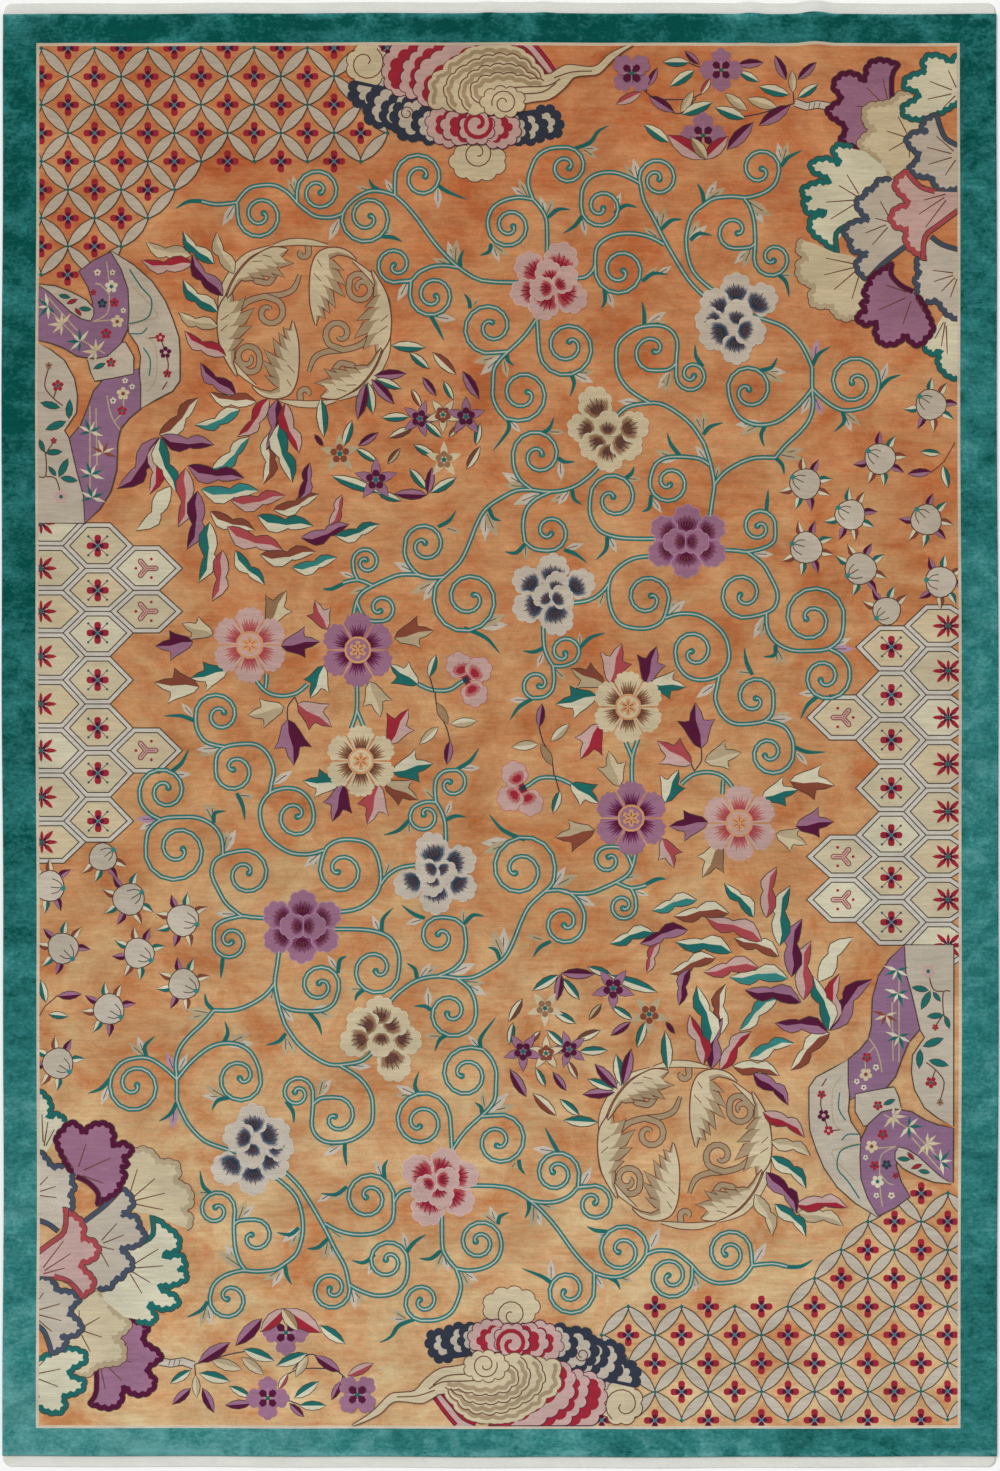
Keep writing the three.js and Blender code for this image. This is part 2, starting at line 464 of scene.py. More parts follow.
def end_web(name, end, material):
    """One flat-woven end in weft ribs, with its outer corners rounded off. end is 1 at the head."""
    corner = 0.024
    xs = evenly(-HALF_WIDTH + 0.002, HALF_WIDTH - 0.002, 0.008)
    start = PILE_END + JOIN_GAP
    rib = 0.0025
    steps = evenly(start, HALF_LENGTH, rib / 2)
    ys = steps if end > 0 else [-s for s in reversed(steps)]

    def drawn_in(x, y):
        """Points near an outer corner slide inwards, onto its round."""
        depth = np.clip((np.abs(y) - (HALF_LENGTH - corner)) / corner, 0, 1)
        return corner * (1 - np.sqrt(1 - depth**2 * 0.96))

    def top_of(x, y):
        wave = 0.5 + 0.5 * np.cos(2 * math.pi * (np.abs(y) - start) / rib)
        return WEB_THICKNESS - 0.0007 * (1 - wave)

    x, y = np.meshgrid(xs, ys)
    reach = HALF_WIDTH - 0.002
    x = x * (reach - drawn_in(x, y)) / reach
    return slab(name, x, y, top_of(x, y), np.zeros_like(x), [material])


# Drawing on the cartoon


FAMILIES = {}
CELLS = 8
heights = np.zeros((int(147 * CELLS), int(100 * CELLS)), dtype=np.int32)


def turned(points):
    return [(2 * TURN[0] - c, 2 * TURN[1] - r) for c, r in points]


def clipped(points):
    """The part of an outline that lies inside the guard stripe."""
    limits = [
        (0, 1, GUARD_INNER["left"]),
        (0, -1, GUARD_INNER["right"]),
        (1, 1, GUARD_INNER["top"]),
        (1, -1, GUARD_INNER["bottom"]),
    ]
    for axis, sign, limit in limits:
        if all(sign * (p[axis] - limit) >= 0 for p in points):
            continue
        kept = []
        for p, q in zip(points, points[1:] + points[:1]):
            p_in = sign * (p[axis] - limit) >= 0
            q_in = sign * (q[axis] - limit) >= 0
            if p_in:
                kept.append(p)
            if p_in != q_in:
                t = (limit - p[axis]) / (q[axis] - p[axis])
                kept.append((p[0] + t * (q[0] - p[0]), p[1] + t * (q[1] - p[1])))
        points = kept
        if len(points) < 3:
            return []
    return points


def covered(points):
    """The cells of the height map under an outline, as a window of it and a mask."""
    p = np.array(points) * CELLS
    low = np.maximum(np.floor(p.min(axis=0)).astype(int), 0)
    high = np.ceil(p.max(axis=0)).astype(int) + 1
    window = (slice(low[1], high[1]), slice(low[0], high[0]))
    rows, columns = heights[window].shape
    cy, cx = np.mgrid[0:rows, 0:columns]
    cx = cx + low[0] + 0.5
    cy = cy + low[1] + 0.5
    turns = np.zeros((rows, columns), dtype=int)
    touched = np.zeros((rows, columns), dtype=bool)
    for (ax, ay), (bx, by) in zip(p, np.roll(p, -1, axis=0)):
        if ay != by:
            crosses = (ay > cy) != (by > cy)
            beyond = cx < (bx - ax) * (cy - ay) / (by - ay) + ax
            turns[crosses & beyond] += 1 if by > ay else -1
        steps = max(2, int(math.hypot(bx - ax, by - ay) * 1.5))
        for t in np.linspace(0, 1, steps):
            column = int(ax + t * (bx - ax)) - low[0]
            row = int(ay + t * (by - ay)) - low[1]
            if 0 <= row < rows and 0 <= column < columns:
                touched[row, column] = True
    return window, touched | (turns != 0)


def lay(family, yarn, points):
    """Adds an outline in one yarn, and its half-turn twin."""
    for outline in (list(points), turned(points)):
        cut = clipped(outline)
        if len(cut) < 3:
            continue
        window, mask = covered(cut)
        level = int(heights[window][mask].max(initial=0)) + 1
        heights[window][mask] = level
        FAMILIES.setdefault(family, []).append((yarn, level, cut))


def lifted(low, high):
    """Extra corners for a shape in this box where the cloth lifts, so that it follows the buckles."""
    extra = []
    for b in BUCKLES:
        x_low, x_high = max(low[0], b["at"] - b["half"]), min(high[0], b["at"] + b["half"])
        y_low = max(low[1], PILE_END - b["reach"])
        if x_low < x_high and y_low < high[1]:
            extra += [(x, y) for x in evenly(x_low, x_high, 0.006) for y in evenly(y_low, high[1], 0.012)]
    return extra


def divided(outline, longest):
    """An outline with points added so that no edge is longer than longest."""
    made = []
    for p, q in zip(outline, outline[1:] + outline[:1]):
        count = max(1, math.ceil(math.dist(p, q) / longest))
        made += [(p[0] + (q[0] - p[0]) * i / count, p[1] + (q[1] - p[1]) * i / count) for i in range(count)]
    return made


def covering(outline):
    """Corners, triangles and border edges of the area an outline goes round, each part of it once."""
    low, high = np.min(outline, axis=0), np.max(outline, axis=0)
    extra = lifted(low, high)
    if extra:
        outline = divided(outline, 0.006)
    count = len(outline)
    edges = [(i, (i + 1) % count) for i in range(count)]
    given = [Vector(p) for p in outline + extra]
    corners, _, triangles, *_ = delaunay_2d_cdt(given, edges, [], 0, 1e-7)
    corners = np.array([tuple(c) for c in corners])
    triangles = np.array(triangles)
    middle = corners[triangles].mean(axis=1)[:, None, :]
    a = np.array(outline)
    b = np.roll(a, -1, axis=0)
    side = (b[:, 0] - a[:, 0]) * (middle[..., 1] - a[:, 1]) - (middle[..., 0] - a[:, 0]) * (b[:, 1] - a[:, 1])
    below = a[:, 1] <= middle[..., 1]
    reached = b[:, 1] > middle[..., 1]
    turns = (below & reached & (side > 0)).sum(axis=1) - (~below & ~reached & (side < 0)).sum(axis=1)
    kept = [tuple(int(k) for k in t) for t in triangles[turns != 0]]
    directed = {(t[i], t[(i + 1) % 3]) for t in kept for i in range(3)}
    border = [(p, q) for p, q in directed if (q, p) not in directed]
    return corners, kept, sorted(border)


def weave(family, materials):
    """Makes the family's inlays into one piece of closed prisms."""
    used = sorted({yarn for yarn, *_ in FAMILIES[family]})
    vertices, faces, slots = [], [], []
    for yarn, level, points in FAMILIES[family]:
        corners, triangles, border = covering([on_cloth(c, r) for c, r in points])
        first, count = len(vertices), len(corners)
        top = PILE_THICKNESS + FIRST_STEP + level * FACE_STEP
        bottom = BACK_LEVEL - level * BACK_STEP
        x, y = corners[:, 0], corners[:, 1]
        vertices.extend(settle(x, y, np.full(count, top)))
        vertices.extend(settle(x, y, np.full(count, bottom)))
        made = [tuple(first + k for k in t) for t in triangles]
        made += [tuple(first + count + k for k in reversed(t)) for t in triangles]
        made += [(first + p, first + count + p, first + count + q, first + q) for p, q in border]
        faces += made
        slots += [used.index(yarn)] * len(made)
    return add_object(family, vertices, faces, [materials[y] for y in used], slots)


def smooth(points, steps=4):
    """A smooth curve through points."""
    last = len(points) - 1
    made = []
    for i in range(last):
        span = [points[min(max(i + k, 0), last)] for k in (-1, 0, 1, 2)]
        for s in range(steps):
            t = s / steps
            made.append(tuple(
                0.5 * (
                    2 * b
                    + (c - a) * t
                    + (2 * a - 5 * b + 4 * c - d) * t**2
                    + (3 * b - a - 3 * c + d) * t**3
                )
                for a, b, c, d in zip(*span)
            ))
    made.append(tuple(points[-1]))
    return made


def directions(points, closed=False):
    """The unit normals of a curve at its points."""
    p = np.array(points)
    if closed:
        run = np.roll(p, -1, axis=0) - np.roll(p, 1, axis=0)
    else:
        run = np.gradient(p, axis=0)
    run /= np.maximum(np.linalg.norm(run, axis=1, keepdims=True), 1e-9)
    return np.stack([-run[:, 1], run[:, 0]], axis=1)


def strip(family, yarn, path, widths):
    """A line along a path. widths is one width, or one for each point."""
    p = np.array(path)
    half = np.broadcast_to(np.array(widths, dtype=float) / 2, (len(p),))[:, None]
    across = directions(path) * half
    near, far = p + across, (p - across)[::-1]
    lay(family, yarn, [tuple(q) for q in np.vstack([near, far])])


def grown(points, by):
    """An outline moved outwards by a distance, or inwards if it is negative."""
    p = np.array(points)
    area = np.sum(p[:, 0] * np.roll(p[:, 1], -1) - p[:, 1] * np.roll(p[:, 0], -1))
    out = directions(points, closed=True) * (-1 if area > 0 else 1)
    return [tuple(q) for q in p + out * by]


def outlined(family, yarn, points, line="line", width=0.1):
    """A shape with a thin dark line round it."""
    lay(family, line, grown(points, width))
    lay(family, yarn, points)


def placed(points, at, angle=0.0, size=1.0):
    """Points of a motif drawn round its own origin, turned clockwise by an angle in degrees."""
    a = math.radians(angle)
    return [
        (
            at[0] + size * (c * math.cos(a) - r * math.sin(a)),
            at[1] + size * (c * math.sin(a) + r * math.cos(a)),
        )
        for c, r in points
    ]


def both_sides(side):
    """The outline that one side of it makes with its mirror image below the middle line."""
    return side + [(c, -r) for c, r in reversed(side) if r]


def circle(at, radius, count=12):
    turns = [2 * math.pi * i / count for i in range(count)]
    return [(at[0] + radius * math.cos(t), at[1] + radius * math.sin(t)) for t in turns]


# Coin lattice in the top left corner


def lens(start, end, width):
    """A blunt lens between two lattice nodes."""
    along = (end[0] - start[0], end[1] - start[1])
    length = math.hypot(*along)
    across = (-along[1] / length, along[0] / length)
    profile = [(0.0, 0.03), (0.14, 0.5), (0.33, 0.93), (0.5, 1.0), (0.67, 0.93), (0.86, 0.5), (1.0, 0.03)]

    def corner(t, w):
        return tuple(s + a * t + x * w * width / 2 for s, a, x in zip(start, along, across))

    return [corner(t, w) for t, w in profile] + [corner(t, -w) for t, w in reversed(profile)]


def quatrefoil(family, at, size=1.0, whiskers=False):
    """A crimson flower of four petals with plum hearts and a sea-green eye."""
    petal = both_sides([(0.24, -0.16), (0.42, -0.29), (0.8, -0.3), (0.98, -0.16)])
    heart = both_sides([(0.1, -0.08), (0.3, -0.22), (0.44, -0.2), (0.52, 0.0)])
    for quarter in range(4):
        angle = 90 * quarter
        lay(family, "crimson", placed(petal, at, angle, size))
        lay(family, "plum", placed(heart, at, angle, size))
        if whiskers:
            end = placed([(1.18, 0.0)], at, angle + 45, size)[0]
            strip(family, "slate", placed([(0.4, 0.0), (1.18, 0.0)], at, angle + 45, size), 0.07)
            lay(family, "slate", circle(end, 0.13, 6))
    for angle in (45, 135):
        strip(family, "pale_lilac", placed([(-0.4, 0.0), (0.4, 0.0)], at, angle, size), 0.06)
    lay(family, "sea", circle(at, 0.17 * size, 6))


def coin_lattice():
    family = "coin_lattice"
    first = (4.16, 4.88)
    pitch = (2.66, 2.83)
    last_column, last_row, full_rows, corner_sum = 13, 8, 4, 10

    def node(i, j):
        return first[0] + pitch[0] * i, first[1] + pitch[1] * j

    def kept(i, j):
        return 0 <= j <= last_row and (j < full_rows or i + j <= corner_sum)

    for j in range(-1, last_row + 1):
        for i in range(-1, last_column + 1):
            if (i + j) % 2 == 0:
                for step in (-1, 1):
                    ends = (i, j), (i + step, j + 1)
                    hung = j == full_rows - 1 and i + step <= last_column
                    if all(kept(*e) or (hung and e[1] == full_rows) for e in ends):
                        shape = lens(node(*ends[0]), node(*ends[1]), 1.0)
                        outlined(family, "ash", shape, width=0.1)
            elif kept(i, j) and (j < full_rows or i + j < corner_sum) or (j == full_rows and i in (7, 9, 11)):
                quatrefoil(family, node(i, j), size=1.12)
    for j in range(0, last_row + 1):
        for i in range(0, last_column + 1):
            hung = j == full_rows and i % 2 == 0
            if (i + j) % 2 == 0 and (kept(i, j) or hung):
                c, r = node(i, j)
                lay(family, "teal", [(c - 0.24, r), (c, r - 0.24), (c + 0.24, r), (c, r + 0.24)])


# Hexagon lattice on the left side

# The cartoon rows that the walls between the cells meet on. A cell starts on one row, has its tips on
# the next one and ends on the one after that.
HEXAGON_ROWS = (
    50.2, 52.3, 54.6, 56.85, 59.05, 61.15, 63.3, 65.65, 68.0, 70.4, 72.8, 75.05, 77.3, 79.7, 82.1, 84.2, 86.3,
)

# One entry for each column of cells: the left tip, the flat's two ends and the right tip, the figure
# in its cells, and the number of each cell's first row
HEXAGON_COLUMNS = [
    {"across": (0.6, 3.9, 6.4, 8.6), "figure": "star", "cells": (0, 2, 4, 6, 8, 10, 12, 14)},
    {"across": (6.4, 8.6, 11.1, 13.4), "figure": "flower", "cells": (1, 3, 5, 7, 9, 11, 13)},
    {"across": (11.1, 13.4, 16.0, 18.3), "figure": "arms", "cells": (2, 4, 10)},
]
WALL_LINE = 0.055
WALL_BAND = 0.41
CELL_YARNS = ("pale_ivory", "ivory", "pale_straw", "ivory", "pale_straw")


def hexagon(across, rows, inset=0.0):
    """A cell with its sides moved inwards by inset."""
    tip_left, flat_left, flat_right, tip_right = across
    low, middle, high = rows
    rise = (high - low) / 2
    left, right = math.hypot(flat_left - tip_left, rise), math.hypot(tip_right - flat_right, rise)
    left_corner = flat_left + inset * (left - flat_left + tip_left) / rise
    right_corner = flat_right - inset * (right - tip_right + flat_right) / rise
    return [
        (tip_left + inset * left / rise, middle),
        (left_corner, low + inset),
        (right_corner, low + inset),
        (tip_right - inset * right / rise, middle),
        (right_corner, high - inset),
        (left_corner, high - inset),
    ]


def star_burst(family, at, size):
    """Crimson points round a sea-green eye."""
    point = both_sides([(0.1, 0.0), (0.45, -0.15), (0.8, -0.1), (1.0, 0.0)])
    heart = both_sides([(0.05, 0.0), (0.25, -0.1), (0.48, 0.0)])
    for turn in range(8):
        long = 0.72 * size if turn in (2, 6) else size
        lay(family, "crimson", placed(point, at, 45 * turn, long))
        lay(family, "plum", placed(heart, at, 45 * turn, long))
    lay(family, "teal", circle(at, 0.2, 6))


def three_arms(family, at):
    """A pink three-armed figure in a crimson line, with three dots."""
    arm = both_sides([(0.0, -0.17), (0.95, -0.18), (1.1, -0.07)])
    for yarn, extra in (("brick", 0.11), ("rose", 0.0)):
        for angle in (0, 130, 230):
            lay(family, yarn, grown(placed(arm, at, angle), extra))
    for angle in (0, 130, 230):
        strip(family, "crimson", placed([(0.05, 0.0), (0.85, 0.0)], at, angle), 0.07)
    for angle in (62, 180, 298):
        dot = placed([(1.05, 0.0)], at, angle)[0]
        lay(family, "crimson", circle(dot, 0.16, 6))


def hexagon_lattice():
    family = "hexagon_lattice"
    cells = []
    for column in HEXAGON_COLUMNS:
        for first in column["cells"]:
            cells.append((column["across"], HEXAGON_ROWS[first:first + 3], column["figure"]))
    for across, rows, _ in cells:
        lay(family, "line", hexagon(across, rows, -WALL_LINE))
    for k, (across, rows, figure) in enumerate(cells):
        lay(family, "silver", hexagon(across, rows, WALL_LINE))
        lay(family, "line", hexagon(across, rows, WALL_BAND))
        lay(family, CELL_YARNS[k % len(CELL_YARNS)], hexagon(across, rows, WALL_BAND + 2 * WALL_LINE))
        at = ((across[1] + across[2]) / 2, rows[1])
        if figure == "flower":
            quatrefoil(family, at, size=1.12, whiskers=True)
        if figure == "star":
            star_burst(family, (4.2, at[1]), 1.6)
        if figure == "arms":
            three_arms(family, at)


# Scrolling vine

VINE_WIDTH = 0.48
VINE_BODY = 0.32
VINE_CORE = 0.11
EYE_SIZE = 0.34

# Stems that end at a flower or join another. All places are cartoon squares.
STEMS = [
    [(23.7, 20.3), (21.7, 20.5), (20.2, 20.2)],
    [(23.7, 20.3), (24.1, 19.7), (24.9, 18.9), (26.0, 18.6), (27.5, 18.6), (28.8, 19.3), (29.7, 20.3)],
    [(29.7, 20.3), (30.5, 21.0), (31.6, 21.7), (33.2, 21.8), (34.3, 21.4)],
    [(34.3, 21.4), (34.8, 20.6), (35.7, 19.8), (36.9, 19.2), (38.2, 19.2), (39.5, 19.6)],
    [(39.5, 19.6), (40.5, 20.5), (41.7, 21.9), (43.2, 24.0), (44.4, 25.4), (45.9, 26.8), (48.2, 28.1),
     (52.0, 28.3)],
    [(45.9, 26.8), (44.6, 26.6), (43.2, 26.7), (41.9, 27.3), (41.1, 28.1), (40.1, 28.2)],
    [(53.9, 31.5), (53.0, 32.9), (52.1, 34.0), (50.8, 35.2)],
    [(50.8, 35.2), (50.0, 36.0), (49.4, 37.0), (49.3, 38.5), (49.3, 39.8), (49.8, 41.0), (50.6, 41.9)],
    [(53.3, 20.0), (54.0, 20.8), (54.6, 21.9), (54.7, 23.4), (54.7, 25.4)],
    [(57.2, 27.9), (58.4, 27.8), (59.1, 27.3), (59.5, 26.6)],
    [(64.0, 18.4), (64.4, 20.2), (65.4, 22.0), (66.4, 24.0), (67.9, 26.6), (69.2, 28.5), (71.2, 30.4)],
    [(70.4, 20.5), (69.4, 21.3), (68.9, 22.3), (68.6, 23.8), (68.7, 25.4), (69.2, 27.0), (70.2, 28.2),
     (72.0, 29.6)],
    [(61.4, 41.9), (62.6, 40.8), (64.3, 40.4), (66.0, 40.4), (67.7, 41.3), (69.2, 42.6), (70.4, 44.4)],
    [(70.4, 44.4), (71.0, 46.3), (71.4, 48.4), (71.2, 50.1), (70.9, 52.2)],
    [(71.4, 48.5), (72.4, 47.3), (74.0, 46.3), (75.6, 45.8), (77.5, 45.8)],
    [(77.5, 45.8), (78.5, 44.6), (80.0, 43.2), (80.9, 42.0), (81.3, 40.6), (81.2, 38.9), (81.2, 36.8)],
    [(81.2, 36.8), (80.7, 35.6), (79.9, 34.2), (78.5, 32.8), (76.8, 32.1), (74.8, 31.5)],
    [(60.2, 46.3), (59.0, 47.6), (57.2, 48.8), (55.1, 49.2), (53.2, 49.0)],
    [(53.2, 49.0), (51.6, 49.1), (50.0, 49.9), (48.5, 51.0), (47.6, 52.6), (46.9, 54.4), (46.0, 56.2),
     (44.4, 57.7)],
    [(55.1, 49.2), (53.6, 49.9), (52.6, 51.0), (52.3, 52.6), (52.5, 54.2)],
    [(44.4, 57.7), (43.1, 57.8), (41.9, 57.5), (40.0, 57.5), (38.6, 58.0), (37.3, 58.6)],
    [(37.3, 58.6), (36.2, 59.3), (35.6, 60.4), (35.2, 62.6)],
    [(54.3, 62.6), (54.4, 64.6), (54.8, 65.8), (55.3, 66.6)],
    [(55.8, 60.4), (57.4, 60.3), (59.0, 60.0), (60.2, 59.2), (60.8, 58.4)],
    [(37.3, 58.6), (35.8, 58.0), (34.3, 58.3)],
]

# Stems that curl up into a scroll. The last point of a stem lies on the scroll's first turn.
# hand is 1 for clockwise on the cartoon, and eye is where the scroll ends.
Scroll = namedtuple("Scroll", "stem centre eye hand turns")
SCROLLS = [
    Scroll([(23.7, 20.3), (23.8, 21.6)], (25.9, 21.7), (26.2, 21.5), -1, 1.6),
    Scroll([(29.7, 20.3), (29.7, 19.2)], (31.8, 19.2), (31.9, 19.2), 1, 1.6),
    Scroll([(34.3, 21.4), (34.2, 22.2)], (36.6, 21.9), (36.9, 21.8), -1, 1.6),
    Scroll([(39.5, 19.6), (39.5, 18.2)], (41.8, 17.8), (42.3, 17.7), 1, 1.55),
    Scroll([(41.1, 28.1), (40.1, 28.2)], (39.5, 26.5), (39.6, 26.6), 1, 1.35),
    Scroll([(41.1, 28.1), (41.0, 29.6)], (43.1, 29.5), (43.4, 29.7), -1, 1.55),
    Scroll([(50.8, 35.2), (49.5, 35.3)], (48.8, 32.9), (49.2, 32.5), 1, 1.55),
    Scroll([(50.6, 41.9), (51.8, 42.1)], (52.0, 39.6), (52.6, 39.4), -1, 1.4),
    Scroll([(53.7, 32.0), (53.8, 33.8), (53.9, 35.2)], (56.6, 35.0), (57.0, 34.4), -1, 1.8),
    Scroll(
        [(66.4, 24.5), (65.1, 23.8), (63.4, 23.4), (61.6, 23.5), (60.3, 24.1), (59.6, 25.0), (59.5, 26.6)],
        (61.9, 27.0), (62.1, 27.2), -1, 1.6,
    ),
    Scroll([(64.0, 18.4), (63.9, 17.9)], (65.8, 17.9), (65.7, 18.0), 1, 1.5),
    Scroll(
        [(64.0, 18.4), (62.9, 17.8), (61.4, 17.3), (59.9, 17.4), (58.8, 18.0), (58.2, 19.1), (58.1, 20.6)],
        (60.1, 20.7), (60.1, 20.8), -1, 1.45,
    ),
    Scroll(
        [(53.3, 20.0), (52.8, 18.4), (53.1, 16.9), (53.8, 15.6), (55.1, 14.9), (56.8, 14.8)], (56.6, 16.6),
        (56.7, 16.8), 1, 1.3,
    ),
    Scroll(
        [(53.3, 20.0), (51.9, 19.8), (50.4, 20.1), (49.3, 20.8), (48.8, 21.9), (48.8, 22.8)], (50.8, 22.7),
        (51.1, 22.7), -1, 1.5,
    ),
    Scroll(
        [(70.4, 20.5), (71.4, 19.9), (73.2, 19.7), (74.7, 19.8), (76.4, 19.3), (77.5, 18.4), (77.9, 17.1)],
        (76.0, 16.9), (76.0, 17.1), -1, 1.15,
    ),
    Scroll(
        [(74.4, 19.9), (75.0, 20.8), (75.4, 22.3), (75.5, 24.3), (75.4, 25.8)], (77.2, 25.9), (77.3, 25.9),
        -1, 1.3,
    ),
    Scroll([(75.5, 24.4), (74.9, 24.8), (73.4, 24.9)], (73.4, 23.2), (73.6, 23.2), 1, 0.9),
    Scroll(
        [(64.9, 40.3), (62.9, 39.0), (61.8, 37.4), (61.6, 35.7), (61.8, 34.4), (62.9, 33.3), (64.2, 32.7),
         (66.0, 32.6), (67.1, 33.1), (67.7, 34.2), (67.6, 36.1), (67.6, 37.7)],
        (69.1, 37.6), (69.2, 37.5), -1, 1.4,
    ),
    Scroll([(67.6, 36.4), (66.8, 37.0), (65.5, 37.1)], (65.2, 35.3), (65.3, 35.0), 1, 0.95),
    Scroll(
        [(70.9, 46.5), (69.9, 45.9), (68.1, 45.7), (66.6, 45.8), (65.5, 46.5), (65.0, 47.9)], (66.9, 48.3),
        (66.9, 48.3), -1, 1.35,
    ),
    Scroll(
        [(81.2, 38.9), (79.9, 40.5), (78.1, 42.0), (76.6, 42.5), (75.1, 42.4), (73.8, 41.6), (73.0, 40.0),
         (72.8, 38.5)],
        (75.0, 38.9), (74.8, 39.2), 1, 1.3,
    ),
    Scroll(
        [(81.2, 38.9), (82.5, 40.1), (84.0, 41.0), (85.5, 41.0), (86.8, 40.5), (87.7, 39.3), (87.9, 38.2)],
        (85.4, 38.2), (85.4, 38.4), -1, 1.45,
    ),
    Scroll([(53.2, 49.0), (52.0, 48.0), (51.4, 46.7), (51.3, 45.3)], (53.6, 45.4), (54.0, 45.6), 1, 1.4),
    Scroll(
        [(65.4, 53.9), (63.8, 53.9), (62.0, 53.8), (60.5, 53.4), (59.6, 52.7), (59.0, 51.4), (59.0, 49.9)],
        (61.4, 49.8), (61.2, 49.9), 1, 1.35,
    ),
    Scroll(
        [(72.3, 55.0), (73.8, 55.1), (74.7, 55.2), (76.4, 54.8), (77.4, 54.1), (77.5, 52.9)], (75.9, 52.6),
        (75.8, 52.8), -1, 1.35,
    ),
    Scroll(
        [(74.7, 55.2), (76.2, 56.4), (77.0, 57.7), (77.7, 59.3), (77.5, 60.6), (76.6, 61.3), (75.1, 61.7)],
        (74.4, 59.5), (74.2, 59.5), 1, 1.3,
    ),
    Scroll(
        [(76.6, 61.3), (76.7, 62.9), (77.5, 64.2), (79.0, 65.0), (80.7, 65.1), (82.7, 64.9), (84.0, 63.8),
         (84.3, 62.3)],
        (81.4, 61.6), (80.8, 61.9), -1, 1.55,
    ),
    Scroll([(82.9, 64.9), (84.0, 65.5), (84.8, 66.6), (84.9, 67.9)], (82.7, 67.7), (82.2, 67.9), 1, 1.4),
    Scroll(
        [(65.4, 55.6), (63.6, 55.8), (62.3, 56.4), (61.2, 57.5), (60.8, 59.0), (61.1, 61.0), (61.9, 62.3),
         (63.2, 62.8), (64.9, 62.8), (66.2, 62.1), (66.7, 60.8)],
        (64.6, 59.9), (65.0, 59.8), -1, 1.25,
    ),
    Scroll(
        [(66.5, 61.8), (67.9, 61.4), (69.7, 61.5), (71.2, 62.3), (72.3, 63.4), (72.8, 64.7), (72.8, 66.2),
         (71.9, 67.5), (70.3, 68.0), (68.8, 67.7), (67.8, 66.6), (67.5, 65.3)],
        (69.4, 65.1), (69.3, 65.3), 1, 1.15,
    ),
    Scroll(
        [(71.9, 67.5), (71.7, 68.6), (71.5, 69.9), (72.1, 71.4), (73.2, 72.3), (74.7, 72.4), (76.4, 72.1),
         (77.2, 71.2), (77.3, 69.8)],
        (75.4, 69.6), (75.4, 70.0), -1, 1.15,
    ),
    Scroll(
        [(76.4, 72.1), (77.8, 72.4), (78.6, 72.9), (79.2, 74.0), (79.3, 75.1)], (77.3, 75.4), (76.6, 75.4), 1,
        1.4,
    ),
    Scroll(
        [(44.4, 57.7), (43.1, 57.8), (41.9, 57.5), (41.0, 56.6), (40.5, 55.5), (40.5, 54.7)], (42.5, 54.5),
        (42.4, 54.5), 1, 1.35,
    ),
    Scroll([(44.4, 57.7), (43.6, 58.6), (43.4, 60.1)], (46.5, 60.2), (47.3, 59.7), -1, 1.7),
    Scroll([(35.8, 58.0), (35.4, 57.1), (35.3, 56.1)], (36.6, 56.2), (36.6, 56.2), 1, 1.25),
    Scroll([(35.7, 60.2), (36.2, 61.4), (37.1, 62.1), (38.4, 62.1)], (38.1, 60.8), (38.0, 60.9), -1, 1.0),
    Scroll([(55.3, 66.6), (56.4, 66.6), (57.5, 66.1), (57.9, 65.3)], (56.5, 65.1), (56.3, 65.3), -1, 1.0),
    Scroll(
        [(55.3, 66.6), (55.4, 67.9), (55.2, 69.0), (54.4, 69.7), (53.2, 69.8)], (53.6, 68.5), (53.9, 68.4), 1,
        0.95,
    ),
    Scroll([(52.5, 54.2), (53.4, 54.9), (54.7, 55.1)], (54.9, 53.3), (55.0, 53.2), -1, 1.1),
]

